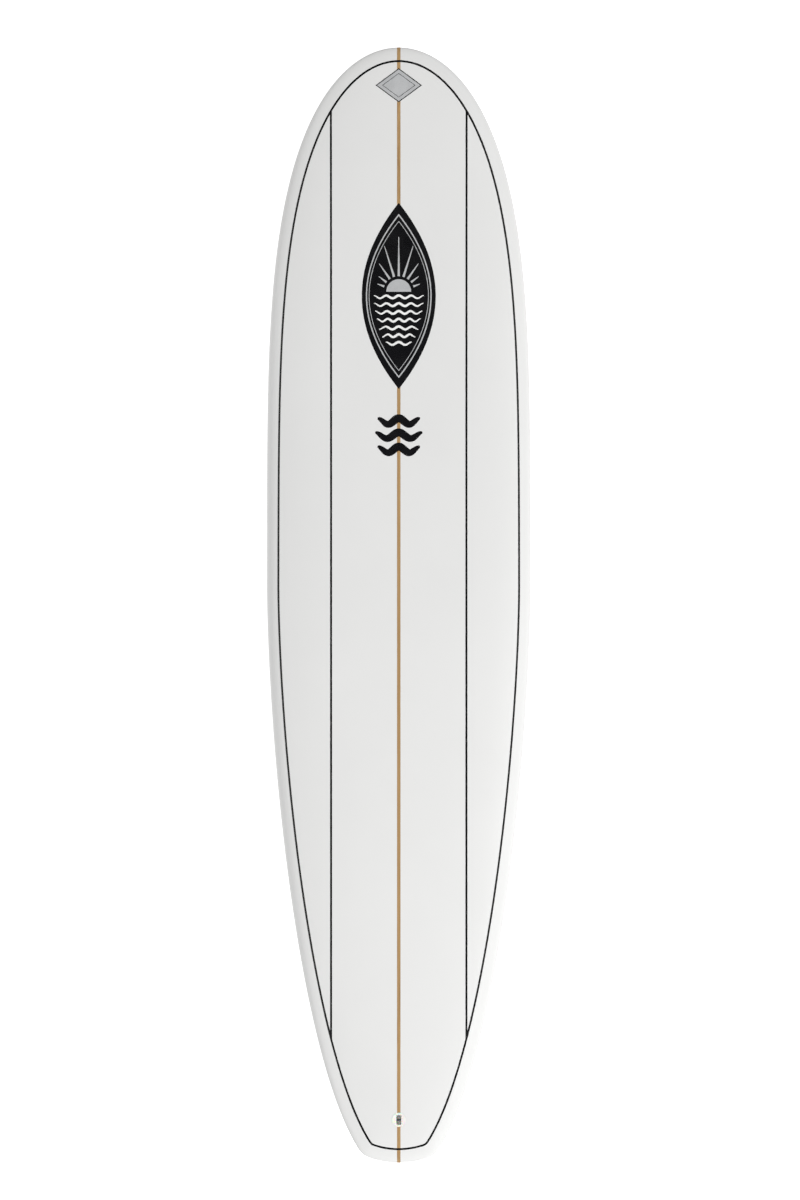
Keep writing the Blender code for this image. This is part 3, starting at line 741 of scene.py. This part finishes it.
def build_outline_pinline(material):
    """The line over the seam between the deck panel and the lap."""
    rings = []
    for share, lift in strip_profile(PAINT):
        row, distance = reach(share * PINLINE, lap=1)
        rings.append(ring_on_hull(row, lift=lift, edge=distance))
    painted("outline_pinline", lofted(rings, endless=True), material)


def build_side_pinlines(material):
    """The two straight lines, which end on the outline pinline."""
    x, y = reach(0, lap=1)[0].T
    widest = int(np.argmax(x))
    front = np.interp(SIDE_LINE_X, x[:widest], y[:widest])
    rear = np.interp(SIDE_LINE_X, x[:widest:-1], y[:widest:-1])
    for side, label in SIDES:
        path = np.linspace((side * SIDE_LINE_X, front), (side * SIDE_LINE_X, rear), SIDE_LINE_STEPS)
        painted(f"side_pinline_{label}", ribbon(path, PINLINE, PAINT - PAINT_LAYER / 2), material)


def joined(parts):
    """One bmesh from several."""
    total = bmesh.new()
    for bm in parts:
        mesh = bpy.data.meshes.new("part")
        bm.to_mesh(mesh)
        bm.free()
        total.from_mesh(mesh)
        bpy.data.meshes.remove(mesh)
    return total


def subdivided(corners, spacing=0.004):
    """A closed plan outline through corner points, with points along its straight sides."""
    found = []
    for start, end in zip(corners, np.roll(corners, -1, 0)):
        count = max(1, int(np.hypot(*(end - start)) / spacing))
        found += [start + (end - start) * step / count for step in range(count)]
    return np.array(found)


def build_lozenge(silver, black):
    """The nose ornament: a lozenge with two thin dark lines."""
    middle = np.array([0, HALF_LENGTH - LOZENGE_FROM_NOSE])
    edge = subdivided(np.array([(0, 1), (-1, 0), (0, -1), (1, 0)]) * LOZENGE / 2)
    painted("lozenge_fill", patch(middle + edge), silver)
    lines = [ribbon(middle + share * edge, width, OVERPRINT, closed=True) for share, width in LOZENGE_LINES]
    painted("lozenge_lines", joined(lines), black)


def pointed_oval(width, length, count=80):
    """A leaf shape along Y, pointed at both ends."""
    v = np.linspace(1, -1, count + 1)
    right = np.column_stack([width / 2 * (1 - v**2), length / 2 * v])
    return np.vstack([right, right[-2:0:-1] * (-1, 1)])


def wave(middle, width, height, waves, thickness, taper, lift=PAINT):
    """A wavy line across the board, which thins out at its ends."""
    u = np.linspace(-1, 1, WAVE_STEPS + 1)
    path = np.column_stack([middle[0] + width / 2 * u, middle[1] + height / 2 * np.cos(waves * math.pi * u)])
    start, power = taper
    return ribbon(path, thickness * np.sin(np.linspace(start, math.pi - start, len(u))) ** power, lift)


def half_sun(middle):
    """Half a disc on the horizon."""
    angle = np.linspace(0, math.pi, 33)
    arc = np.column_stack([np.cos(angle), np.sin(angle)])
    horizon = np.linspace(arc[-1], arc[0], 15)[1:-1]
    return patch(middle + SUN_RADIUS * np.vstack([arc, horizon]), OVERPRINT, rings=5)


def sun_rays(middle):
    """Tapered rays over the sun, the longest straight up."""
    found = []
    for turn in np.linspace(RAY_LOWEST, math.pi - RAY_LOWEST, SUN_RAYS):
        end = RAY_START + RAY_SHORTEST + RAY_GROWTH * math.sin(turn) ** 5
        out = np.linspace(RAY_START, end, RAY_STEPS)[:, None] * (math.cos(turn), math.sin(turn))
        found.append(ribbon(middle + out, np.linspace(*RAY_WIDTH, RAY_STEPS), OVERPRINT))
    return found


def sea(middle):
    """Waves one under the other, as wide as the badge's inner line leaves room for."""
    narrower, shorter, _ = BADGE_LINES[-1]
    found = []
    for step in range(SEA_WAVES):
        up = SUN_UP - SEA_DROP - SEA_SPACING * step
        from_middle = up / ((BADGE_LENGTH - shorter) / 2)
        width = (BADGE_WIDTH - narrower) * (1 - from_middle**2) - SEA_MARGIN
        count = max(1, round(width / SEA_WAVE_SPAN))
        place = middle + (0, up)
        found.append(wave(place, width, SEA_WAVE_HEIGHT, count, SEA_WAVE_WIDTH, SEA_TAPER, OVERPRINT))
    return found


def build_badge(black, silver, white):
    """The large mark: a leaf shape with a sun over the sea inside it."""
    middle = np.array([0, HALF_LENGTH - BADGE_FROM_NOSE])
    painted("badge_fill", patch(middle + pointed_oval(BADGE_WIDTH, BADGE_LENGTH), rings=14), black)
    lines = []
    for narrower, shorter, width in BADGE_LINES:
        oval = pointed_oval(BADGE_WIDTH - narrower, BADGE_LENGTH - shorter)
        lines.append(ribbon(middle + oval, width, OVERPRINT, closed=True))
    sun = middle + (0, SUN_UP)
    painted("badge_silver", joined([*lines, half_sun(sun), *sun_rays(sun)]), silver)
    painted("badge_waves", joined(sea(middle)), white)


def build_wave_bars(black):
    """The small mark: three wavy bars, one under the other."""
    bars = []
    for step in (-1, 0, 1):
        middle = (0, HALF_LENGTH - BARS_FROM_NOSE + BARS_SPACING * step)
        width = BARS_WIDTH * (1 - BARS_NARROWING * abs(step))
        bars.append(wave(middle, width, BAR_HEIGHT, BAR_WAVES, BAR_THICKNESS, BAR_TAPER))
    painted("wave_bars", joined(bars), black)


# --- leash plug ---


def build_leash_plug(plastic, steel):
    width, length, depth = LEASH_SLOT
    under = PLUG_PROUD - PLUG_FLANGE
    rings = circles(
        (PLUG_CUP_RADIUS - PLUG_EASE, -PLUG_DEPTH), (PLUG_CUP_RADIUS, PLUG_EASE - PLUG_DEPTH),
        (PLUG_CUP_RADIUS, under), (PLUG_RADIUS, under),
        *((PLUG_RADIUS - narrower, z) for narrower, z in PLUG_RIM),
    )
    slot = [(grow, PLUG_PROUD - down) for grow, down in LEASH_SLOT_MOUTH]
    slot += [(grow, up - depth) for grow, up in LEASH_SLOT_FLOOR]
    rings += [round_rect(width, length, LEASH_SLOT_CORNER, z, grow) for grow, z in slot]
    plug = solid("leash_cup", capped(rings), frames["plug"])
    across = Matrix.Translation((0, 0, -LEASH_PIN_DEPTH)) @ Matrix.Rotation(math.pi / 2, 4, "Y")
    place = frames["plug"] @ across
    end = LEASH_PIN[1] / 2 + GAP
    carve(plug, cutter_rod(LEASH_PIN[0] + FINE, -end, end, place))
    finish(plug, "board", plastic, "leash_plug")
    pin = solid("leash_cross_pin", chamfered_rod(*LEASH_PIN), place)
    finish(pin, "board", steel, "leash_pin")


# --- fin boxes ---


def box_body(box, slot, slot_y=0.0, track=()):
    """A flanged fin box along Y whose slot opens towards -Z. track lists wider rings inside the slot."""
    length, width, depth, lip = box
    slot_width, slot_length, slot_depth = slot

    def hollow(z, grow=0.0, wide=slot_width):
        overrun = TRACK_OVERRUN if wide > slot_width else 0.0
        return round_rect(wide, slot_length + overrun, SLOT_CORNER - min(grow, 0), z, grow, slot_y)

    cup = ((-BOX_EASE, depth), (0.0, depth - BOX_EASE), (0.0, FLANGE - PROUD))
    floor = ((0.0, slot_depth - SLOT_EASE), (-SLOT_EASE, slot_depth))
    return capped([
        *(capsule(width, length - 2 * lip, z, grow) for grow, z in cup),
        *(capsule(width + 2 * lip, length, z, grow) for grow, z in ((0.0, FLANGE - PROUD), *BOX_RIM)),
        *(hollow(z, grow) for grow, z in SLOT_MOUTH),
        *(hollow(z, wide=wide) for wide, z in track),
        *(hollow(z, grow) for grow, z in floor),
    ])


def build_center_box(plastic):
    place = frames["center_box"]
    narrow, bottom = TRACK_SLOT[0], TRACK_TOP + TRACK_HEIGHT
    track = ((narrow, TRACK_TOP), (TRACK_WIDTH, TRACK_TOP), (TRACK_WIDTH, bottom), (narrow, bottom))
    box = solid("long_fin_box", box_body(CENTER_BOX, TRACK_SLOT, track=track), place)
    carve(box, cutter(lambda z: round_rect(*NOTCH, z), -CUT_OUT, TRACK_TOP + TRACK_HEIGHT / 2, place))
    finish(box, "board", plastic, "center_fin_box")


def build_side_box(label, plastic):
    bm = box_body(SIDE_BOX, SIDE_SLOT, SIDE_SLOT_Y)
    box = solid(f"short_fin_box_{label}", bm, frames[f"side_box_{label}"])
    end = GRUB_RECESS + GRUB_LENGTH + BORE_CLEARANCE
    carve(box, cutter_rod(GRUB_RADIUS + GRUB_CLEARANCE, -CUT_OUT, end, frames[f"grub_{label}"]))
    finish(box, "board", plastic, f"side_fin_box_{label}")


# --- fins ---


def foil_ring(front, rear, z, thickness, flat_side=0, lean=0.0, scale=1.0):
    """A closed fin section. flat_side is 0 or the flat side's sign, and scale is about its middle."""
    t = (1 - np.cos(np.linspace(0, math.pi, FIN_POINTS + 1))) / 2
    bulge = t ** FIN_FOIL[0] * (1 - t) ** FIN_FOIL[1]
    half = thickness / 2 * (FIN_EDGE + (1 - FIN_EDGE) * bulge / bulge.max())
    shift = flat_side * (thickness / 2 - half)
    y = (front + rear) / 2 + scale * (front - rear) * (0.5 - t)
    right, left = (scale * (shift + side * half) + lean for side in (1, -1))
    return [(x, y, z) for x, y in zip([*right, *left[::-1]], [*y, *y[::-1]])]


def blade(depth, chord, rake, thickness, flat_side=0, cant=0.0, y=0.0):
    """A swept blade that hangs down from its root chord, with its front towards +Y and a round tip."""
    tip_y = -chord / 2 - rake
    straight = np.linspace(0, FIN_END - FIN_ROUND, FIN_SPANS + 1)
    rounding = FIN_ROUND * np.sin(np.linspace(0, math.pi / 2, FIN_ROUND_RINGS + 1)[1:])
    rings = [foil_ring(chord / 2, -chord / 2, FIN_ROOT, thickness, flat_side)]
    for share in np.concatenate([straight, FIN_END - FIN_ROUND + rounding]):
        front = tip_y + (chord / 2 - tip_y) * falling(share, *FIN_FRONT_CURVE)
        rear = tip_y + rake * falling(share, *FIN_REAR_CURVE)
        past = max(0.0, (share - FIN_END + FIN_ROUND) / FIN_ROUND)
        scale = math.sqrt(max(0.0, 1 - past**2))
        z = -depth * share
        thin = thickness * (1 - FIN_THINNING * share)
        rings.append(foil_ring(front, rear, z, thin, flat_side, math.tan(cant) * -z, scale))
    bm = capped(rings)
    bmesh.ops.translate(bm, verts=bm.verts, vec=(0, y, 0))
    return bm


def tab(thickness, rear, front, top, bottom, place):
    """A tab along Y with eased corners."""
    def ring(z, grow=0.0):
        return round_rect(thickness, front - rear, TAB_CORNER, z, grow, (front + rear) / 2)

    return solid("tab", capped([ring(top), ring(bottom - TAB_EASE), ring(bottom, -TAB_EASE)]), place)


def build_center_fin(glass, brass, steel):
    place, screw_place = frames["center_fin"], frames["center_screw"]
    fin = solid("long_fin", blade(FIN_DEPTH, FIN_CHORD, FIN_RAKE, FIN_THICKNESS), place)
    carve(fin, tab(FIN_THICKNESS, *TAB, place), tab(FIN_THICKNESS, *EAR, place), operation="UNION")
    pin_place = place @ Matrix.Translation((0, FIN_PIN_Y, FIN_PIN_Z)) @ Matrix.Rotation(math.pi / 2, 4, "Y")
    carve(
        fin,
        cutter_rod(FIN_PIN[0] + FINE, -FIN_PIN[1], FIN_PIN[1], pin_place),
        cutter_rod(SCREW_RADIUS + BORE_CLEARANCE, -CUT_OUT, 2 * CUT_OUT, screw_place),
        cutter_rod(HEAD_RADIUS + GAP, -CUT_OUT, HEAD_TOP + HEAD_HEIGHT + BORE_CLEARANCE, screw_place),
    )
    finish(fin, "center_fin_body", glass, "center_fin")
    pin = solid("fin_roller_pin", chamfered_rod(*FIN_PIN), pin_place)
    finish(pin, "center_fin_body", brass, "center_fin_pin")
    build_fin_screw(steel, screw_place)
    build_fin_plate(brass, screw_place)


def build_fin_screw(steel, place):
    """A screw with a domed head, a straight slot and a thread."""
    bottom = HEAD_TOP + HEAD_HEIGHT
    head = circles(
        *((HEAD_RADIUS * share, HEAD_TOP + down) for share, down in HEAD_DOME),
        (HEAD_RADIUS, bottom - FINE), (HEAD_RADIUS - FINE, bottom), (SCREW_RADIUS * HEAD_NECK, bottom),
    )
    shank = thread_rings(SCREW_RADIUS, bottom, SCREW_END)
    screw = solid("fin_clamp_screw", capped([*head, *shank[1:]]), place)
    carve(screw, cutter(lambda z: round_rect(*DRIVE, z), -CUT_OUT, HEAD_TOP + DRIVE_DEPTH, place))
    finish(screw, "center_screw_body", steel, "center_fin_screw")


def build_fin_plate(brass, place):
    top, bottom, ease = PLATE_TOP, PLATE_TOP + PLATE_HEIGHT, PLATE_EASE
    profile = ((-ease, top), (0.0, top + ease), (0.0, bottom - ease), (-ease, bottom))
    rings = [round_rect(PLATE_SIDE, PLATE_SIDE, PLATE_CORNER, z, grow) for grow, z in profile]
    plate = solid("fin_clamp_plate", capped(rings), place)
    carve(plate, cutter_rod(SCREW_RADIUS + FINE, -CUT_OUT, 2 * CUT_OUT, place))
    finish(plate, "center_plate_body", brass, "center_fin_plate")


def build_side_fin(side, label, glass, steel):
    place = frames[f"side_box_{label}"]
    bm = blade(
        SIDE_FIN_DEPTH, SIDE_TAB_LENGTH, SIDE_FIN_RAKE, SIDE_TAB_THICKNESS, -side, side * CANT, SIDE_SLOT_Y
    )
    fin = solid(f"short_fin_{label}", bm, place)
    rear, front = (SIDE_SLOT_Y + end * SIDE_TAB_LENGTH / 2 for end in (-1, 1))
    carve(fin, tab(SIDE_TAB_THICKNESS, rear, front, TAB_TOP, SIDE_TAB_DEPTH, place), operation="UNION")
    finish(fin, f"side_fin_{label}_body", glass, f"side_fin_{label}")
    build_grub_screw(label, steel)


def build_grub_screw(label, steel):
    """A threaded pin with a hexagonal socket in its outer end."""
    top = GRUB_RECESS
    narrower, down = GRUB_CHAMFER
    shank = thread_rings(GRUB_RADIUS, top + down, top + GRUB_LENGTH)
    bm = capped([
        hexagon(0.0, HEX_DEPTH + HEX_POINT), hexagon(HEX_RADIUS, HEX_DEPTH), hexagon(HEX_RADIUS, top + FINE),
        hexagon(HEX_RADIUS + FINE, top), circle(GRUB_RADIUS - narrower, top), *shank,
    ])
    grub = solid(f"grub_screw_{label}", bm, frames[f"grub_{label}"])
    finish(grub, f"side_screw_{label}_body", steel, f"side_fin_screw_{label}")


# --- materials ---


def new_material(name, color, roughness, own=True, **settings):
    """A material, its Principled shader, and coordinates: the piece's own, or a CAD node's."""
    material = bpy.data.materials.new(name)
    material.use_nodes = True
    nodes = material.node_tree.nodes
    shader = nodes["Principled BSDF"]
    for socket, value in {"Base Color": (*color, 1), "Roughness": roughness, **settings}.items():
        shader.inputs[socket].default_value = value
    if not own:
        return material, shader, nodes.new("ShaderNodeTexCoord").outputs["Object"]
    place = nodes.new("ShaderNodeAttribute")
    place.attribute_name = "local"
    return material, shader, place.outputs["Vector"]


def node(kind, inputs, output=0, **settings):
    """Adds a shader node and returns an output. inputs maps sockets to values or to other outputs."""
    tree = next(value.id_data for value in inputs.values() if isinstance(value, bpy.types.NodeSocket))
    made = tree.nodes.new(f"ShaderNode{kind}")
    for name, value in settings.items():
        setattr(made, name, value)
    for socket, value in inputs.items():
        if isinstance(value, bpy.types.NodeSocket):
            tree.links.new(value, made.inputs[socket])
        else:
            made.inputs[socket].default_value = value
    return made.outputs[output]


def stretched(place, scale):
    return node("Mapping", {"Vector": place, "Scale": scale})


def noise(place, scale, detail=3.0, roughness=0.5):
    return node("TexNoise", {"Vector": place, "Scale": scale, "Detail": detail, "Roughness": roughness})


def scaled(value, factor):
    return node("Math", {0: value, 1: factor}, operation="MULTIPLY")


def plus(value, other):
    return node("Math", {0: value, 1: other}, operation="ADD")


def weave(place, pitch):
    """Cloth threads both ways, 0 to 1."""
    inputs = {"Vector": place, "Scale": 2 * math.pi / 20 / pitch, "Distortion": 0.0}
    return scaled(*(node("TexWave", inputs, 1, bands_direction=axis) for axis in "XY"))


def span(value, low, high, start=0.0, end=1.0):
    """Maps a value between start and end to one between low and high."""
    inputs = {"Value": value, "From Min": start, "From Max": end, "To Min": low, "To Max": high}
    return node("MapRange", inputs)


def ramp(value, dark, light, start=0.3, end=0.7):
    """A colour between dark and light."""
    color = node("ValToRGB", {0: value})
    for stop, shade, position in zip(color.node.color_ramp.elements, (dark, light), (start, end)):
        stop.color = (*shade, 1)
        stop.position = position
    return color


def wire(shader, color, roughness, height, distance, strength=1.0):
    """Links colour, roughness and bump to the shader."""
    bump = node("Bump", {"Height": height, "Distance": distance, "Strength": strength})
    for socket, value in (("Base Color", color), ("Roughness", roughness), ("Normal", bump)):
        shader.id_data.links.new(value, shader.inputs[socket])


def laminate():
    """White foam under glass cloth and resin: a faint weave, soft clouds and shallow ripples."""
    material, shader, place = new_material("laminate", (0.8, 0.8, 0.79), 0.3, **COAT)
    clouds = noise(place, 5.0, 4.0, 0.55)
    threads = weave(place, 0.0009)
    mixed = plus(scaled(clouds, 0.85), scaled(threads, 0.15))
    color = ramp(mixed, (0.770, 0.770, 0.762), (0.806, 0.806, 0.797), 0.1, 0.9)
    ripples = noise(place, 55.0, 2.0)
    height = plus(scaled(ripples, 0.9), scaled(threads, 0.08))
    wire(shader, color, span(clouds, 0.26, 0.36), height, 0.00012, 0.35)
    return material


def wood(name, dark, light):
    """Straight-grained wood along Y, under resin."""
    material, shader, place = new_material(name, light, 0.4, **COAT)
    fibres = noise(stretched(place, (900, 9, 900)), 1.0, 6.0, 0.6)
    rings = noise(stretched(place, (260, 1.6, 260)), 1.0, 3.0, 0.5)
    grain = plus(scaled(fibres, 0.45), scaled(rings, 0.55))
    color = ramp(grain, dark, light, 0.35, 0.65)
    wire(shader, color, span(fibres, 0.35, 0.5), fibres, 0.00003)
    return material


def ink(name, dark, light, roughness=0.25, sparkle=0.0, **settings):
    """Slightly uneven paint under the gloss coat. sparkle adds fine flecks."""
    material, shader, place = new_material(name, light, roughness, **COAT, **settings)
    uneven = noise(place, 28.0, 5.0, 0.6)
    flecks = noise(place, 900.0, 1.0)
    mixed = plus(scaled(uneven, 1 - sparkle), scaled(flecks, sparkle))
    color = ramp(mixed, dark, light, 0.35, 0.65)
    wire(shader, color, span(flecks, roughness * 0.8, roughness * 1.3), uneven, 0.00006, 0.4)
    return material


def moulded(name, dark, light, roughness=0.38, translucent=0.05):
    """Moulded plastic with a fine grain and slight flow marks."""
    material, shader, place = new_material(
        name, light, roughness, **{"Subsurface Weight": translucent, "Subsurface Scale": 0.004}
    )
    flow = noise(place, 60.0, 4.0, 0.6)
    grain = noise(place, 2600.0, 2.0)
    spread = span(grain, roughness - 0.06, roughness + 0.1)
    wire(shader, ramp(flow, dark, light), spread, grain, 0.00004, 0.5)
    return material


def metal(name, dark, light, roughness, direction):
    """Turned or drawn metal: fine lines one way, and small dull spots."""
    material, shader, place = new_material(name, light, roughness, Metallic=1.0)
    lines = noise(stretched(place, direction), 1.0, 3.0, 0.7)
    spots = noise(place, 700.0, 3.0)
    color = ramp(spots, dark, light, 0.3, 0.6)
    wire(shader, color, span(lines, roughness * 0.7, roughness * 1.5), lines, 0.00001, 0.6)
    return material


def fin_glass():
    """Pressed glass cloth in black resin, whose layers show as contour lines where foiling cuts them."""
    material, shader, place = new_material(
        "fin_glass", (0.03, 0.03, 0.035), 0.3, **{"Coat Weight": 0.4, "Coat Roughness": 0.12}
    )
    axes = node("SeparateXYZ", {0: place}).node
    wobble = scaled(noise(place, 40.0, 2.0), 0.00012)
    depth = plus(node("Math", {0: axes.outputs[0]}, operation="ABSOLUTE"), wobble)
    layer = node("Math", {0: scaled(depth, 2 * math.pi / 0.00045)}, operation="SINE")
    side_on = node("CombineXYZ", {"X": axes.outputs[1], "Y": axes.outputs[2]})
    threads = weave(side_on, 0.0012)
    mixed = plus(span(layer, 0.0, 0.6, 0.5, 1.0), scaled(threads, 0.4))
    color = ramp(mixed, (0.016, 0.017, 0.020), (0.060, 0.063, 0.070), 0.1, 1.0)
    wire(shader, color, span(threads, 0.2, 0.34), threads, 0.00003, 0.5)
    return material


def foam():
    """Shaped foam with open cells."""
    material, shader, place = new_material("foam", (0.9, 0.88, 0.8), 0.9, own=False)
    cells = node("TexVoronoi", {"Vector": place, "Scale": 900.0})
    clouds = noise(place, 12.0)
    color = ramp(clouds, (0.86, 0.84, 0.75), (0.92, 0.90, 0.83))
    wire(shader, color, span(cells, 0.8, 0.98), cells, 0.0002)
    return material


# --- studio ---


def build_floor():
    """A plain white floor, whose glow keeps it pale and doesn't light the board."""
    bm = bmesh.new()
    bmesh.ops.create_grid(bm, x_segments=1, y_segments=1, size=FLOOR_SIZE)
    bmesh.ops.translate(bm, verts=bm.verts, vec=(0, 0, FLOOR_Z))
    floor = solid("floor", bm)
    glow = {"Specular IOR Level": 0.0, "Emission Color": (1, 1, 1, 1), "Emission Strength": FLOOR_GLOW}
    floor.data.materials.append(new_material("floor", (0.8, 0.8, 0.8), 0.9, **glow)[0])
    floor.visible_diffuse = False
    floor.visible_glossy = False


def build_world():
    """Soft light from a room with a dark ceiling, so that black paint stays black. The camera sees white."""
    world = bpy.data.worlds.new("studio")
    bpy.context.scene.world = world
    world.use_nodes = True
    tree = world.node_tree
    background = tree.nodes["Background"]
    background.inputs["Color"].default_value = (1, 1, 1, 1)
    direction = tree.nodes.new("ShaderNodeTexCoord").outputs["Generated"]
    up = node("SeparateXYZ", {"Vector": direction}, 2)
    walls = span(up, BELOW_LIGHT, WALL_LIGHT, -0.15, 0.15)
    room = span(up, walls, CEILING_LIGHT, 0.80, 0.93)
    seen = tree.nodes.new("ShaderNodeLightPath").outputs["Is Camera Ray"]
    tree.links.new(span(seen, room, BACKDROP), background.inputs["Strength"])


def soft_light(name, location, size, power):
    """A round lamp pointed at the board, which the gloss doesn't mirror."""
    data = bpy.data.lights.new(name, "AREA")
    data.shape = "DISK"
    data.size = size
    data.energy = power
    light = added(name, data)
    light.location = location
    light.rotation_euler = (-Vector(location)).to_track_quat("-Z", "Y").to_euler()
    light.visible_camera = False
    light.visible_glossy = False


def build_camera():
    """Straight above the deck, with the nose up."""
    data = bpy.data.cameras.new("camera")
    data.lens = LENS
    data.sensor_width = SENSOR
    data.clip_end = FAR_CLIP
    camera = added("camera", data)
    camera.location = (*CAMERA_AT, OUTLINE_PLANE + PICTURE_HEIGHT / SENSOR * LENS)
    bpy.context.scene.camera = camera


def hardware_frames():
    """Where each piece of hardware sits, and how it is turned."""
    box = frame_on(0, BOX_FROM_TAIL - HALF_LENGTH, BOTTOM)
    found = {
        "plug": frame_on(0, PLUG_FROM_TAIL - HALF_LENGTH, DECK),
        "center_box": box,
        "center_fin": box @ Matrix.Translation((0, FIN_OFFSET, 0)),
        "center_screw": box @ Matrix.Translation((0, FIN_OFFSET + SCREW_Y, 0)),
    }
    grub = Matrix.Translation((0, GRUB_MOUTH_Y, -PROUD)) @ Matrix.Rotation(GRUB_TILT, 4, "X")
    for side, label in SIDES:
        box = frame_on(side * SIDE_X, SIDE_FROM_TAIL - HALF_LENGTH, BOTTOM, side * TOE)
        found[f"side_box_{label}"] = box
        found[f"grub_{label}"] = box @ grub
    return found


outline, tail_corner = outline_right()
edge_table = distance_table()
hull_rays = rays()
frames = hardware_frames()

skin = laminate()
black_ink = ink("black_ink", (0.002, 0.002, 0.003), (0.006, 0.006, 0.007))
silver_ink = ink("silver_ink", (0.62, 0.63, 0.64), (0.78, 0.79, 0.80), 0.35, 0.5, Metallic=0.35)
white_ink = ink("white_ink", (0.84, 0.84, 0.83), (0.90, 0.90, 0.89))
plug_plastic = moulded("plug_plastic", (0.84, 0.82, 0.77), (0.88, 0.87, 0.83), translucent=0.35)
box_plastic = moulded("box_plastic", (0.74, 0.74, 0.73), (0.82, 0.82, 0.81), 0.42)
steel_metal = metal("stainless", (0.48, 0.48, 0.49), (0.58, 0.58, 0.58), 0.30, (90, 90, 2600))
# Nearly black metal, used for the leash pin across its slot
nearly_black_metal = metal("nearly_black_metal", (0.10, 0.10, 0.10), (0.15, 0.15, 0.15), 0.35, (2600, 2600, 90))
brass_metal = metal("brass", (0.50, 0.34, 0.13), (0.72, 0.52, 0.22), 0.32, (1800, 160, 160))
glass_sheet = fin_glass()

build_deck(skin)
build_bottom(skin)
build_stringer(wood("stringer_wood", (0.315, 0.190, 0.083), (0.50, 0.317, 0.141)))
build_outline_pinline(black_ink)
build_side_pinlines(black_ink)
build_lozenge(silver_ink, black_ink)
build_badge(black_ink, silver_ink, white_ink)
build_wave_bars(black_ink)
build_leash_plug(plug_plastic, nearly_black_metal)
build_center_box(box_plastic)
build_center_fin(glass_sheet, brass_metal, steel_metal)
for side, label in SIDES:
    build_side_box(label, box_plastic)
    build_side_fin(side, label, glass_sheet, steel_metal)
foam_material = foam()
for name in ("foam_left", "foam_right"):
    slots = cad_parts[name].data.materials
    slots.clear()
    slots.append(foam_material)

build_floor()
build_world()
soft_light("key", (4.8, -3.4, 5.8), 3.5, 495)
soft_light("fill", (-5.0, -1.0, 5.0), 5.0, 105)
build_camera()
bpy.context.scene.view_settings.view_transform = "Standard"
